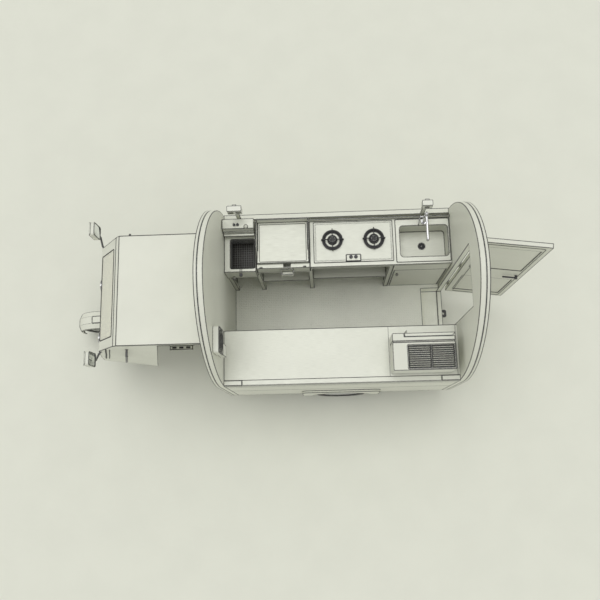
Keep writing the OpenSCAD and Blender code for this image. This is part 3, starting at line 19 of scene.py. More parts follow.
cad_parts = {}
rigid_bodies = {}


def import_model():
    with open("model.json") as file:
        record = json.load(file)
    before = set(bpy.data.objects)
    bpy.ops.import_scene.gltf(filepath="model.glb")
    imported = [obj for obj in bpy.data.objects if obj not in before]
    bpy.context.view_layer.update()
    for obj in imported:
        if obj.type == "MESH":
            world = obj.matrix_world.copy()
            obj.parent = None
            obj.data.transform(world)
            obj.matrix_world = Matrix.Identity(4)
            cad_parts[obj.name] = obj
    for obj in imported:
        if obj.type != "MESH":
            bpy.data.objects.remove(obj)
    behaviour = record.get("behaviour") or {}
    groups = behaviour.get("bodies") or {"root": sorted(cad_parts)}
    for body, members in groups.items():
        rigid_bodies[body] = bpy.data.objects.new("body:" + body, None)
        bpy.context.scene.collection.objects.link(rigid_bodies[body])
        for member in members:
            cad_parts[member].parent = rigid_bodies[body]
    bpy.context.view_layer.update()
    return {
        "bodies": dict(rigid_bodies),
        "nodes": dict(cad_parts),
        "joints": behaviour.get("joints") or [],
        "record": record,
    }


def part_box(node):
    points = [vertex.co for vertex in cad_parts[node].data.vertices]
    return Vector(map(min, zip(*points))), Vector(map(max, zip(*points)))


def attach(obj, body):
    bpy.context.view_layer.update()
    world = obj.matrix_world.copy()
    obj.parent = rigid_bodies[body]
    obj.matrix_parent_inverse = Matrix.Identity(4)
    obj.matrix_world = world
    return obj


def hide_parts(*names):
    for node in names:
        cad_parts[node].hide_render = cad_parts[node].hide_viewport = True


LOG = logging.getLogger("vehicle")
MM = 0.001
MERGE = 1e-6
Point = tuple[float, float, float]
Colour = tuple[float, float, float]
Outline = Sequence[tuple[float, float]]
FaceTest = Callable[[Vector, Vector], bool]
Tree = bpy.types.NodeTree
Socket = bpy.types.NodeSocket
# Dark colour of the lines at angled panel edges: seam lines, partly painted edge shade.
SEAM_AND_SHADE_COLOUR: Colour = (0.018, 0.018, 0.02)
DUST_COLOUR: Colour = (0.36, 0.34, 0.29)
BLOOM_COLOUR: Colour = (0.09, 0.09, 0.088)


class Kind(Enum):
    """The families of surface that a finish can be."""

    PAINT = "paint"
    METAL = "metal"
    PLASTIC = "plastic"
    RUBBER = "rubber"
    GLASS = "glass"
    VINYL = "vinyl"
    CHEQUER = "chequer"
    LIQUID = "liquid"
    PAPER = "paper"


@dataclass(frozen=True)
class Finish:
    """One material: its colour, gloss and the scale of its surface detail.

    On glass, mottle is the share of light that passes. On the rest it is the change of tone.
    """

    name: str
    kind: Kind
    colour: Colour
    roughness: float
    slot: str
    metallic: float = 0.0
    grain: float = 60.0
    bump: float = 0.02
    # Radius of the dark line at angled edges, 0 for none: seam lines, partly painted edge shade.
    seam: float = 0.0
    dust: float = 0.1
    coat: float = 0.0
    mottle: float = 0.02


BODY = Finish("body_enamel", Kind.PAINT, (0.68, 0.69, 0.60), 0.46, "body_paint", seam=0.013, coat=0.08)
TRIM = Finish("trim_enamel", Kind.PAINT, (0.66, 0.67, 0.585), 0.47, "body_trim", seam=0.012, coat=0.06)
FLOOR = Finish("chequer_floor", Kind.CHEQUER, (0.80, 0.81, 0.72), 0.6, "floor_sheet", 0.05, seam=0.012)
STEEL = Finish("brushed_steel", Kind.METAL, (0.62, 0.63, 0.555), 0.48, "stainless", metallic=0.35, grain=420,
               bump=0.012, seam=0.0115, dust=0.05)
COUNTER = replace(STEEL, name="counter_steel", seam=0.0028)
FRAME = Finish("frame_enamel", Kind.PAINT, (0.035, 0.036, 0.038), 0.5, "frame_paint", grain=90, dust=0.35)
CAST = Finish("black_fittings", Kind.PAINT, (0.045, 0.046, 0.05), 0.42, "cast_metal", grain=120, dust=0.2)
ARMS = Finish("grey_fittings", Kind.PAINT, (0.09, 0.09, 0.092), 0.4, "cast_metal", seam=0.003, coat=0.1)
HEADS = Finish("mirror_shells", Kind.PLASTIC, (0.66, 0.67, 0.585), 0.45, "dark_plastic", grain=300,
               seam=0.0115)
SPRING = Finish("oiled_spring", Kind.METAL, (0.06, 0.06, 0.062), 0.5, "spring_steel", metallic=0.7, grain=200)
WHEEL = Finish("wheel_enamel", Kind.PAINT, (0.60, 0.61, 0.57), 0.36, "wheel_paint", seam=0.004, coat=0.2)
TYRE = Finish("tyre_rubber", Kind.RUBBER, (0.022, 0.022, 0.023), 0.78, "tyre_rubber", grain=160, dust=0.4)
RUBBER = Finish("seal_rubber", Kind.RUBBER, (0.03, 0.03, 0.031), 0.7, "dark_plastic", grain=220)
GLASS = Finish("clear_glass", Kind.GLASS, (0.95, 0.945, 0.82), 0.05, "clear_glass", mottle=0.42)
LENS = Finish("lamp_lens", Kind.GLASS, (0.92, 0.95, 0.93), 0.05, "clear_glass", mottle=1.0)
VINYL = Finish("seat_vinyl", Kind.VINYL, (0.055, 0.056, 0.06), 0.52, "seat_vinyl", grain=520, bump=0.05)
DARK = Finish("moulded_dark", Kind.PLASTIC, (0.05, 0.05, 0.055), 0.5, "dark_plastic", grain=380)
PALE = Finish("moulded_pale", Kind.PLASTIC, (0.72, 0.73, 0.65), 0.46, "pale_plastic", grain=380, seam=0.0105)
WIRE = Finish("worn_wire", Kind.METAL, (0.09, 0.09, 0.087), 0.42, "wire_steel", metallic=0.6, grain=300)
BARS = Finish("basket_bars", Kind.METAL, (0.20, 0.20, 0.19), 0.4, "wire_steel", metallic=0.5, grain=300)
GRIDDLE = Finish("ground_griddle", Kind.METAL, (0.61, 0.62, 0.545), 0.46, "griddle_steel", metallic=0.35,
                 grain=320, seam=0.0115, dust=0.05)
IRON = Finish("burner_iron", Kind.PAINT, (0.02, 0.02, 0.021), 0.62, "burner_iron", grain=260, bump=0.08)
CHROME = Finish("tap_chrome", Kind.METAL, (0.62, 0.62, 0.63), 0.16, "tap_chrome", metallic=1.0, grain=30,
                bump=0.0, seam=0.004, dust=0.03)
BRIGHT = Finish("bright_fittings", Kind.METAL, (0.60, 0.60, 0.58), 0.25, "tap_chrome", metallic=0.9, bump=0.004,
                dust=0.05)
OVEN = Finish("oven_glass", Kind.PLASTIC, (0.06, 0.06, 0.065), 0.16, "oven_glass", grain=200, bump=0.004)
MIRROR = Finish("mirror_silver", Kind.METAL, (0.86, 0.88, 0.88), 0.03, "clear_glass", metallic=1.0, grain=20,
                bump=0.0, dust=0.0)
AMBER = Finish("amber_lens", Kind.GLASS, (0.90, 0.36, 0.04), 0.12, "clear_glass", mottle=0.8)
RED = Finish("red_lens", Kind.GLASS, (0.70, 0.03, 0.03), 0.12, "clear_glass", mottle=0.8)
OIL = Finish("frying_oil", Kind.LIQUID, (0.020, 0.015, 0.009), 0.3, "wire_steel")
PAPER = Finish("pale_ground", Kind.PAPER, (0.70, 0.71, 0.622), 0.9, "", grain=26, dust=0.0, mottle=0.012)

NODE_FINISH: dict[str, Finish] = {
    "chassis_frame": FRAME, "floor_pan": FLOOR, "front_end_wall": BODY, "rear_end_wall": BODY,
    "arch_rims": TRIM, "serving_side_panel": BODY, "kitchen_side_panel": BODY, "sill_rail": STEEL,
    "rear_door": BODY, "door_handle": DARK, "rear_axle": CAST, "leaf_springs": SPRING,
    "left_wheel": WHEEL, "right_wheel": WHEEL, "front_wheel": WHEEL, "battery_pack": DARK,
    "steering_fork": CAST, "handlebar": CAST, "front_fender": BODY, "cab_floor": FLOOR,
    "cab_nose": BODY, "cab_roof": BODY, "windscreen": GLASS, "left_mirror": HEADS,
    "right_mirror": HEADS, "mirror_arms": ARMS, "grab_handles": ARMS, "fryer_body": STEEL,
    "fryer_head": STEEL, "fryer_knob_left": DARK, "fryer_knob_right": DARK, "griddle_body": STEEL,
    "griddle_plate": GRIDDLE, "grease_drawer": STEEL, "worktop": STEEL, "hob_plate": STEEL,
    "burners": IRON, "pan_supports": IRON, "hob_knob_left": DARK, "hob_knob_right": DARK,
    "sink_bowl": STEEL, "tap_body": CHROME, "tap_spout": CHROME, "tap_lever": CHROME,
    "kitchen_frame": STEEL, "sink_cabinet": TRIM, "cabinet_door": TRIM, "serving_counter": COUNTER,
    "microwave_case": TRIM, "microwave_door": TRIM, "microwave_knob": DARK, "wall_sockets": PALE,
    "extractor_housing": PALE, "extractor_fan": DARK,
}


class Paints:
    """Makes each finish's node material once, from shared node groups."""

    tread_scale = 12.0
    tread_turns = ((45.0, 0.0), (-45.0, 0.013))
    tread_height = 0.0016
    vinyl_height = 0.0006
    brush_stretch = 0.04
    streak_shade = 0.8
    glass_index = 1.45
    coat_roughness = 0.15

    def __init__(self) -> None:
        """Builds the groups that the materials share."""
        self.made: dict[str, bpy.types.Material] = {}
        self.seams_and_shade = self._seam_and_shade_group()
        self.grain = self._grain_group()
        self.dust = self._dust_group()

    @staticmethod
    def _group(name: str, ins: Sequence[tuple[str, str, float]],
               outs: Sequence[tuple[str, str]]) -> tuple[Tree, bpy.types.Node, bpy.types.Node]:
        """Starts a node group with named sockets.

        Args:
            name: the group's name.
            ins: name, socket type and default of each input.
            outs: name and socket type of each output.

        Returns:
            The group, its input node and its output node.
        """
        tree = bpy.data.node_groups.new(name, "ShaderNodeTree")
        for label, kind, value in ins:
            socket = tree.interface.new_socket(label, in_out="INPUT", socket_type=kind)
            if kind == "NodeSocketFloat":
                socket.default_value = value
        for label, kind in outs:
            tree.interface.new_socket(label, in_out="OUTPUT", socket_type=kind)
        return tree, tree.nodes.new("NodeGroupInput"), tree.nodes.new("NodeGroupOutput")

    @staticmethod
    def _maths(tree: Tree, op: str, a: Socket | float, b: Socket | float, clamp: bool = False) -> Socket:
        """Adds a Math node.

        Args:
            tree: the tree that gets the node.
            op: what it does.
            a: its first side, a socket or a number.
            b: its second side.
            clamp: whether the result is kept from 0 to 1.

        Returns:
            The node's output.
        """
        node = tree.nodes.new("ShaderNodeMath")
        node.operation = op
        node.use_clamp = clamp
        for i, side in enumerate((a, b)):
            if isinstance(side, (int, float)):
                node.inputs[i].default_value = side
            else:
                tree.links.new(side, node.inputs[i])
        return node.outputs[0]

    @staticmethod
    def _range(tree: Tree, value: Socket, low: float, high: float, to_low: float = 0.0,
               to_high: float = 1.0) -> Socket:
        """Maps a value from one range to another, smoothly and clamped.

        Args:
            tree: the tree that gets the node.
            value: what is mapped.
            low: the start of the range that it comes from.
            high: the end of that range.
            to_low: what the start becomes.
            to_high: what the end becomes.

        Returns:
            The node's output.
        """
        node = tree.nodes.new("ShaderNodeMapRange")
        node.interpolation_type = "SMOOTHSTEP"
        tree.links.new(value, node.inputs["Value"])
        for label, number in (("From Min", low), ("From Max", high), ("To Min", to_low), ("To Max", to_high)):
            node.inputs[label].default_value = number
        return node.outputs[0]

    def _seam_and_shade_group(self) -> Tree:
        """Builds the mask of thin dark lines where two faces of a panel meet at an angle: seam lines, partly
        painted edge shade.

        Returns:
            The group, with the line's radius going in and the mask of seam lines and painted edge shade coming
            out.
        """
        tree, gin, gout = self._group(
            "edge_seams_and_shade", [("Radius", "NodeSocketFloat", 0.003)], [("Mask", "NodeSocketFloat")])
        bevel = tree.nodes.new("ShaderNodeBevel")
        bevel.samples = 12
        tree.links.new(gin.outputs["Radius"], bevel.inputs["Radius"])
        geometry = tree.nodes.new("ShaderNodeNewGeometry")
        dot = tree.nodes.new("ShaderNodeVectorMath")
        dot.operation = "DOT_PRODUCT"
        tree.links.new(bevel.outputs[0], dot.inputs[0])
        tree.links.new(geometry.outputs["Normal"], dot.inputs[1])
        tree.links.new(self._range(tree, dot.outputs["Value"], 0.997, 0.982), gout.inputs["Mask"])
        return tree

    def _grain_group(self) -> Tree:
        """Builds the fine grain of a surface.

        Returns:
            The group, with a height for bump and a slow change of tone coming out.
        """
        tree, gin, gout = self._group(
            "surface_grain", [("Scale", "NodeSocketFloat", 60.0), ("Stretch", "NodeSocketFloat", 1.0)],
            [("Height", "NodeSocketFloat"), ("Tone", "NodeSocketFloat")])
        place = tree.nodes.new("ShaderNodeTexCoord")
        stretch = tree.nodes.new("ShaderNodeCombineXYZ")
        tree.links.new(gin.outputs["Stretch"], stretch.inputs["X"])
        for axis in "YZ":
            stretch.inputs[axis].default_value = 1.0
        scaled = tree.nodes.new("ShaderNodeVectorMath")
        scaled.operation = "MULTIPLY"
        tree.links.new(place.outputs["Object"], scaled.inputs[0])
        tree.links.new(stretch.outputs[0], scaled.inputs[1])
        fine = tree.nodes.new("ShaderNodeTexNoise")
        fine.inputs["Detail"].default_value = 4
        tree.links.new(scaled.outputs[0], fine.inputs["Vector"])
        tree.links.new(gin.outputs["Scale"], fine.inputs["Scale"])
        slow = tree.nodes.new("ShaderNodeTexNoise")
        slow.inputs["Scale"].default_value = 2.6
        slow.inputs["Detail"].default_value = 3
        tree.links.new(place.outputs["Object"], slow.inputs["Vector"])
        tree.links.new(fine.outputs["Fac"], gout.inputs["Height"])
        tree.links.new(self._range(tree, slow.outputs["Fac"], 0.3, 0.7), gout.inputs["Tone"])
        return tree

    def _dust_group(self) -> Tree:
        """Builds the mask of road dust and smears, thicker near the ground.

        Returns:
            The group, with the amount going in and the mask coming out.
        """
        tree, gin, gout = self._group(
            "road_dust", [("Amount", "NodeSocketFloat", 0.2)], [("Mask", "NodeSocketFloat")])
        place = tree.nodes.new("ShaderNodeTexCoord")
        parts = tree.nodes.new("ShaderNodeSeparateXYZ")
        tree.links.new(place.outputs["Object"], parts.inputs[0])
        low = self._range(tree, parts.outputs["Z"], 0.9, 0.05)
        cloud = tree.nodes.new("ShaderNodeTexNoise")
        cloud.inputs["Scale"].default_value = 9
        cloud.inputs["Detail"].default_value = 6
        tree.links.new(place.outputs["Object"], cloud.inputs["Vector"])
        patch = self._range(tree, cloud.outputs["Fac"], 0.42, 0.72)
        spread = self._maths(tree, "MULTIPLY_ADD", low, 0.8)
        spread.node.inputs[2].default_value = 0.2
        mask = self._maths(tree, "MULTIPLY", patch, spread)
        amount = self._maths(tree, "MULTIPLY", mask, gin.outputs["Amount"], clamp=True)
        tree.links.new(amount, gout.inputs["Mask"])
        return tree

    @staticmethod
    def _blend(tree: Tree, share: Socket, a: Socket | Colour, b: Socket | Colour) -> Socket:
        """Mixes two colours.

        Args:
            tree: the tree that gets the node.
            share: how much of the second colour shows.
            a: the first colour, a socket or three numbers.
            b: the second colour.

        Returns:
            The mixed colour's output.
        """
        mix = tree.nodes.new("ShaderNodeMix")
        mix.data_type = "RGBA"
        tree.links.new(share, mix.inputs[0])
        for socket, side in ((mix.inputs[6], a), (mix.inputs[7], b)):
            if isinstance(side, tuple):
                socket.default_value = (*side, 1.0)
            else:
                tree.links.new(side, socket)
        return mix.outputs[2]

    @staticmethod
    def _use(tree: Tree, group: Tree, **values: float) -> bpy.types.Node:
        """Places a shared group in a material.

        Args:
            tree: the material's tree.
            group: the group.
            values: what its inputs are set to, by their names.

        Returns:
            The group's node.
        """
        node = tree.nodes.new("ShaderNodeGroup")
        node.node_tree = group
        for label, value in values.items():
            node.inputs[label].default_value = value
        return node

    @staticmethod
    def _bump(tree: Tree, shader: bpy.types.Node, height: Socket, distance: float) -> None:
        """Feeds a height to the shader's normal through a Bump node.

        Args:
            tree: the material's tree.
            shader: the shader.
            height: the height.
            distance: how far its full height stands out, in metres.
        """
        bump = tree.nodes.new("ShaderNodeBump")
        bump.inputs["Distance"].default_value = distance
        tree.links.new(height, bump.inputs["Height"])
        tree.links.new(bump.outputs[0], shader.inputs["Normal"])

    def _tread_height(self, tree: Tree) -> Socket:
        """Lays raised bars in a chequer pattern, in the floor's plane.

        Args:
            tree: the material's tree.

        Returns:
            The bars' height.
        """
        place = tree.nodes.new("ShaderNodeTexCoord")
        heights = []
        for turn, shift in self.tread_turns:
            mapping = tree.nodes.new("ShaderNodeMapping")
            mapping.inputs["Rotation"].default_value = (0, 0, math.radians(turn))
            mapping.inputs["Location"].default_value = (shift, shift, 0)
            tree.links.new(place.outputs["Object"], mapping.inputs["Vector"])
            wave = tree.nodes.new("ShaderNodeTexWave")
            wave.inputs["Scale"].default_value = self.tread_scale
            tree.links.new(mapping.outputs[0], wave.inputs["Vector"])
            cross = tree.nodes.new("ShaderNodeTexWave")
            cross.bands_direction = "Y"
            cross.inputs["Scale"].default_value = self.tread_scale
            tree.links.new(mapping.outputs[0], cross.inputs["Vector"])
            bar = self._range(tree, wave.outputs["Fac"], 0.72, 0.9)
            gate = self._range(tree, cross.outputs["Fac"], 0.45, 0.55)
            heights.append(self._maths(tree, "MULTIPLY", bar, gate))
        return self._maths(tree, "MAXIMUM", heights[0], heights[1])

    def _glass(self, tree: Tree, shader: bpy.types.Node, finish: Finish) -> None:
        """Clear or tinted glass, with a slight change of gloss.

        Args:
            tree: the material's tree.
            shader: its shader.
            finish: which finish.
        """
        shader.inputs["Base Color"].default_value = (*finish.colour, 1)
        shader.inputs["Transmission Weight"].default_value = finish.mottle
        shader.inputs["IOR"].default_value = self.glass_index
        grain = self._use(tree, self.grain, Scale=6.0, Stretch=1.0)
        rough = self._range(tree, grain.outputs["Tone"], 0.0, 1.0, finish.roughness,
                            finish.roughness + 0.04)
        tree.links.new(rough, shader.inputs["Roughness"])

    def material(self, finish: Finish) -> bpy.types.Material:
        """Returns the finish's material, made at its first use.

        Args:
            finish: which finish.

        Returns:
            Its node material.
        """
        if finish.name in self.made:
            return self.made[finish.name]
        material = bpy.data.materials.new(finish.name)
        material.use_nodes = True
        tree = material.node_tree
        tree.nodes.clear()
        out = tree.nodes.new("ShaderNodeOutputMaterial")
        shader = tree.nodes.new("ShaderNodeBsdfPrincipled")
        tree.links.new(shader.outputs[0], out.inputs[0])
        shader.inputs["Metallic"].default_value = finish.metallic
        if finish.kind is Kind.GLASS:
            self._glass(tree, shader, finish)
        else:
            self._solid(tree, shader, finish)
        self.made[finish.name] = material
        return material

    def _solid(self, tree: Tree, shader: bpy.types.Node, finish: Finish) -> None:
        """Colour, roughness and bump of an opaque finish.

        Args:
            tree: the material's tree.
            shader: its shader.
            finish: which finish.
        """
        brushed = finish.kind is Kind.METAL and finish.grain > 100
        stretch = self.brush_stretch if brushed else 1.0
        grain = self._use(tree, self.grain, Scale=finish.grain, Stretch=stretch)
        light = tuple(min(1.0, c * (1 + finish.mottle)) for c in finish.colour)
        shade = tuple(c * (1 - finish.mottle) for c in finish.colour)
        colour = self._blend(tree, grain.outputs["Tone"], shade, light)
        if finish.kind is Kind.METAL:
            streak = self._range(tree, grain.outputs["Height"], 0.35, 0.65)
            colour = self._blend(tree, self._maths(tree, "MULTIPLY", streak, 0.25), colour,
                                 tuple(c * self.streak_shade for c in finish.colour))
        if finish.kind is Kind.RUBBER:
            bloom = self._range(tree, grain.outputs["Height"], 0.5, 0.75)
            colour = self._blend(tree, self._maths(tree, "MULTIPLY", bloom, 0.3), colour, BLOOM_COLOUR)
        if finish.kind is not Kind.LIQUID and finish.dust > 0:
            dust = self._use(tree, self.dust, Amount=finish.dust)
            colour = self._blend(tree, dust.outputs["Mask"], colour, DUST_COLOUR)
        # Darkens every angled edge and crease: seam lines, partly painted edge shade.
        if finish.seam > 0:
            seam = self._use(tree, self.seams_and_shade, Radius=finish.seam)
            colour = self._blend(tree, seam.outputs["Mask"], colour, SEAM_AND_SHADE_COLOUR)
        tree.links.new(colour, shader.inputs["Base Color"])
        low, high = finish.roughness * 0.9, min(1.0, finish.roughness * 1.15 + 0.02)
        rough = self._range(tree, grain.outputs["Height"], 0.3, 0.7, low, high)
        tree.links.new(rough, shader.inputs["Roughness"])
        shader.inputs["Coat Weight"].default_value = finish.coat
        shader.inputs["Coat Roughness"].default_value = self.coat_roughness
        if finish.kind is Kind.CHEQUER:
            self._bump(tree, shader, self._tread_height(tree), self.tread_height)
        elif finish.kind is Kind.VINYL:
            cells = tree.nodes.new("ShaderNodeTexVoronoi")
            cells.inputs["Scale"].default_value = finish.grain
            place = tree.nodes.new("ShaderNodeTexCoord")
            tree.links.new(place.outputs["Object"], cells.inputs["Vector"])
            self._bump(tree, shader, cells.outputs["Distance"], self.vinyl_height)
        elif finish.bump > 0:
            self._bump(tree, shader, grain.outputs["Height"], finish.bump * 0.02)


class Spot:
    """Turns the source's millimetres into the frame's metres."""

    shift = 0.0

    @classmethod
    def settle(cls) -> None:
        """Reads where the front end wall stands in the frame."""
        cls.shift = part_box("floor_pan")[0].x

    @classmethod
    def at(cls, x: float, y: float, z: float) -> Vector:
        """Returns a point in the frame."""
        return Vector((x * MM + cls.shift, y * MM, z * MM))

    @classmethod
    def box(cls, node: str) -> tuple[Vector, Vector]:
        """Reads where a node stands, in millimetres, as the source counts them.

        Args:
            node: the node's name.

        Returns:
            Its lowest and its highest corner.
        """
        low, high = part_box(node)
        back = Vector((cls.shift, 0, 0))
        return (low - back) / MM, (high - back) / MM

    @classmethod
    def hit(cls, node: bpy.types.Object, start: Point, way: Point) -> Point:
        """Returns where a ray meets a node, in millimetres.

        Args:
            node: the node's object.
            start: where the ray starts, in millimetres.
            way: its direction.

        Returns:
            The point on the node, or the start when the ray misses it.
        """
        found, place, _normal, _face = node.ray_cast(cls.at(*start), Vector(way).normalized())
        if not found:
            return start
        return ((place.x - cls.shift) / MM, place.y / MM, place.z / MM)


class Bench:
    """Makes pieces with Blender's own modelling operators."""

    def __init__(self, paints: Paints) -> None:
        """Keeps the paints that pieces are finished with."""
        self.paints = paints
        self.count = 0

    @staticmethod
    def clear() -> None:
        """Leaves edit mode and deselects everything."""
        if bpy.context.object and bpy.context.object.mode != "OBJECT":
            bpy.ops.object.mode_set(mode="OBJECT")
        bpy.ops.object.select_all(action="DESELECT")

    def only(self, obj: bpy.types.Object) -> None:
        """Selects one object and makes it the active one.

        Args:
            obj: the object.
        """
        self.clear()
        obj.select_set(True)
        bpy.context.view_layer.objects.active = obj

    def edit(self, obj: bpy.types.Object, mode: str = "FACE") -> None:
        """Goes into edit mode on one object, with all of it selected.

        Args:
            obj: the object.
            mode: what is selected in it, faces, edges or vertices.
        """
        self.only(obj)
        bpy.ops.object.mode_set(mode="EDIT")
        bpy.ops.mesh.select_mode(type=mode)
        bpy.ops.mesh.select_all(action="SELECT")

    @staticmethod
    def pick(obj: bpy.types.Object, test: FaceTest) -> None:
        """Selects the faces that pass a test on their centre and normal, in edit mode.

        Args:
            obj: the object in edit mode.
            test: says whether a face with this centre and normal is wanted.
        """
        mesh = bmesh.from_edit_mesh(obj.data)
        wanted = [face for face in mesh.faces if test(face.calc_center_median(), face.normal)]
        for face in mesh.faces:
            face.select_set(False)
        for face in wanted:
            face.select_set(True)
        mesh.select_flush_mode()
        bmesh.update_edit_mesh(obj.data)

    def settle(self, obj: bpy.types.Object) -> None:
        """Applies the object's place and turn to its mesh."""
        self.only(obj)
        bpy.ops.object.transform_apply(location=True, rotation=True, scale=True)

    def apply(self, obj: bpy.types.Object) -> None:
        """Applies all of an object's modifiers.

        Args:
            obj: the object.
        """
        self.only(obj)
        for modifier in list(obj.modifiers):
            bpy.ops.object.modifier_apply(modifier=modifier.name)

    def slab(self, low: Point, high: Point, bevel: float = 1.0, segments: int = 2) -> bpy.types.Object:
        """A block with rounded edges.

        Args:
            low: its lowest corner, in millimetres.
            high: its highest corner.
            bevel: the width of the rounding.
            segments: how many facets the rounding has.

        Returns:
            The block.
        """
        self.clear()
        a, b = Spot.at(*low), Spot.at(*high)
        bpy.ops.mesh.primitive_cube_add(size=1, location=(a + b) / 2)
        obj = bpy.context.object
        obj.scale = b - a
        self.settle(obj)
        if bevel > 0:
            self.edit(obj, "EDGE")
            bpy.ops.mesh.bevel(offset=bevel * MM, segments=segments, affect="EDGES")
            self.clear()
        return obj

    def spun(self, profile: Outline, place: Point, axis: Point,
             steps: int = 48) -> bpy.types.Object:
        """Turns a closed outline of radius and height in millimetres about an axis.

        Args:
            profile: the outline, as radius and height along the axis.
            place: where height 0 on the axis lies, in millimetres.
            axis: the direction of the axis.
            steps: how many facets go round.

        Returns:
            The closed piece.
        """
        self.clear()
        bpy.ops.mesh.primitive_circle_add(vertices=len(profile), radius=0.01, fill_type="NOTHING")
        obj = bpy.context.object
        order = self._ring_order(obj.data)
        for index, (radius, height) in zip(order, profile):
            obj.data.vertices[index].co = (radius * MM, 0, height * MM)
        self.edit(obj, "VERT")
        bpy.ops.mesh.spin(steps=steps, angle=math.tau, center=(0, 0, 0), axis=(0, 0, 1))
        bpy.ops.mesh.select_all(action="SELECT")
        bpy.ops.mesh.remove_doubles(threshold=MERGE)
        bpy.ops.mesh.delete_loose()
        bpy.ops.mesh.select_all(action="SELECT")
        bpy.ops.mesh.normals_make_consistent(inside=False)
        self.clear()
        obj.rotation_mode = "QUATERNION"
        obj.rotation_quaternion = Vector((0, 0, 1)).rotation_difference(Vector(axis).normalized())
        obj.location = Spot.at(*place)
        self.settle(obj)
        return obj

    @staticmethod
    def _ring_order(mesh: bpy.types.Mesh) -> list[int]:
        """Walks round a ring of edges.

        Args:
            mesh: the ring.

        Returns:
            Its vertex indices, in the order that they follow each other.
        """
        following: dict[int, list[int]] = {}
        for edge in mesh.edges:
            a, b = edge.vertices
            following.setdefault(a, []).append(b)
            following.setdefault(b, []).append(a)
        order, last = [0], -1
        while len(order) < len(mesh.vertices):
            step = [v for v in following[order[-1]] if v != last]
            last = order[-1]
            order.append(step[0])
        return order

    def tube(self, points: Sequence[Point], radius: float, closed: bool = False,
             smooth: bool = True) -> bpy.types.Object:
        """A round bar.

        Args:
            points: what it runs along, in millimetres.
            radius: its own radius.
            closed: whether its end joins its start.
            smooth: whether it curves from point to point.

        Returns:
            The bar, closed at its ends.
        """
        self.clear()
        bpy.ops.curve.primitive_nurbs_path_add()
        obj = bpy.context.object
        data = obj.data
        data.splines.clear()
        spline = data.splines.new("BEZIER" if smooth else "POLY")
        if smooth:
            spline.bezier_points.add(len(points) - 1)
            for knot, point in zip(spline.bezier_points, points):
                knot.co = Spot.at(*point)
                knot.handle_left_type = knot.handle_right_type = "AUTO"
        else:
            spline.points.add(len(points) - 1)
            for knot, point in zip(spline.points, points):
                knot.co = (*Spot.at(*point), 1)
        spline.use_cyclic_u = closed
        data.dimensions = "3D"
        data.resolution_u = 6
        data.bevel_depth = radius * MM
        data.bevel_resolution = 3
        data.use_fill_caps = True
        self.only(obj)
        bpy.ops.object.convert(target="MESH")
        obj = bpy.context.object
        self.edit(obj)
        bpy.ops.mesh.remove_doubles(threshold=MERGE)
        bpy.ops.mesh.normals_make_consistent(inside=False)
        self.clear()
        self.settle(obj)
        return obj

    def ring_outline(self, low: tuple[float, float], high: tuple[float, float], corner: float,
                     place: Callable[[float, float], Point], radius: float) -> bpy.types.Object:
        """A bead round a rectangle with round corners.

        Args:
            low: the rectangle's lowest corner in its own plane.
            high: its highest corner.
            corner: the radius of its corners.
            place: turns a point of the plane into a point of the vehicle.
            radius: the bead's own radius.

        Returns:
            The closed bead.
        """
        middles = ((high[0] - corner, high[1] - corner), (low[0] + corner, high[1] - corner),
                   (low[0] + corner, low[1] + corner), (high[0] - corner, low[1] + corner))
        points = []
        for quarter, (cx, cy) in enumerate(middles):
            for step in range(5):
                a = math.radians(90 * quarter + step * 22.5)
                points.append(place(cx + corner * math.cos(a), cy + corner * math.sin(a)))
        return self.tube(points, radius, closed=True, smooth=False)

    def repeat(self, first: bpy.types.Object, moves: Iterable[Matrix]) -> bpy.types.Object:
        """Copies a piece once for each move and joins the copies.

        Args:
            first: the piece, modelled once.
            moves: where each copy goes, in the frame.

        Returns:
            One object with all the copies.
        """
        copies = []
        for move in moves:
            copy = first.copy()
            copy.data = first.data.copy()
            bpy.context.collection.objects.link(copy)
            copy.data.transform(move)
            copies.append(copy)
        self.clear()
        bpy.data.objects.remove(first)
        return self.join(copies)

    def join(self, parts: Sequence[bpy.types.Object]) -> bpy.types.Object:
        """Joins pieces into the first of them.

        Args:
            parts: the pieces.

        Returns:
            The joined piece.
        """
        self.clear()
        for part in parts:
            part.select_set(True)
        bpy.context.view_layer.objects.active = parts[0]
        if len(parts) > 1:
            bpy.ops.object.join()
        return bpy.context.view_layer.objects.active

    def finish(self, obj: bpy.types.Object, name: str, body: str, finish: Finish,
               replaces: Sequence[str] = (), angle: float = 35.0) -> bpy.types.Object:
        """Names, paints and mounts a finished piece.

        Args:
            obj: the piece.
            name: its name.
            body: the body that it rides on.
            finish: its finish.
            replaces: the CAD nodes that it stands for.
            angle: edges sharper than this stay crisp, in degrees.

        Returns:
            The piece.
        """
        self.only(obj)
        bpy.ops.object.shade_smooth_by_angle(angle=math.radians(angle))
        obj.name = name
        obj.data.name = name
        obj.data.materials.clear()
        obj.data.materials.append(self.paints.material(finish))
        for polygon in obj.data.polygons:
            polygon.material_index = 0
        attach(obj, body)
        if replaces:
            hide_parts(*replaces)
        self.count += 1
        LOG.info("%s on %s: %d faces", name, body, len(obj.data.polygons))
        return obj


def turned_about(point: Vector, axis: Point, angle: float) -> Matrix:
    """Returns a turn about an axis through a point, in degrees."""
    return (Matrix.Translation(point) @ Matrix.Rotation(math.radians(angle), 4, Vector(axis))
            @ Matrix.Translation(-point))


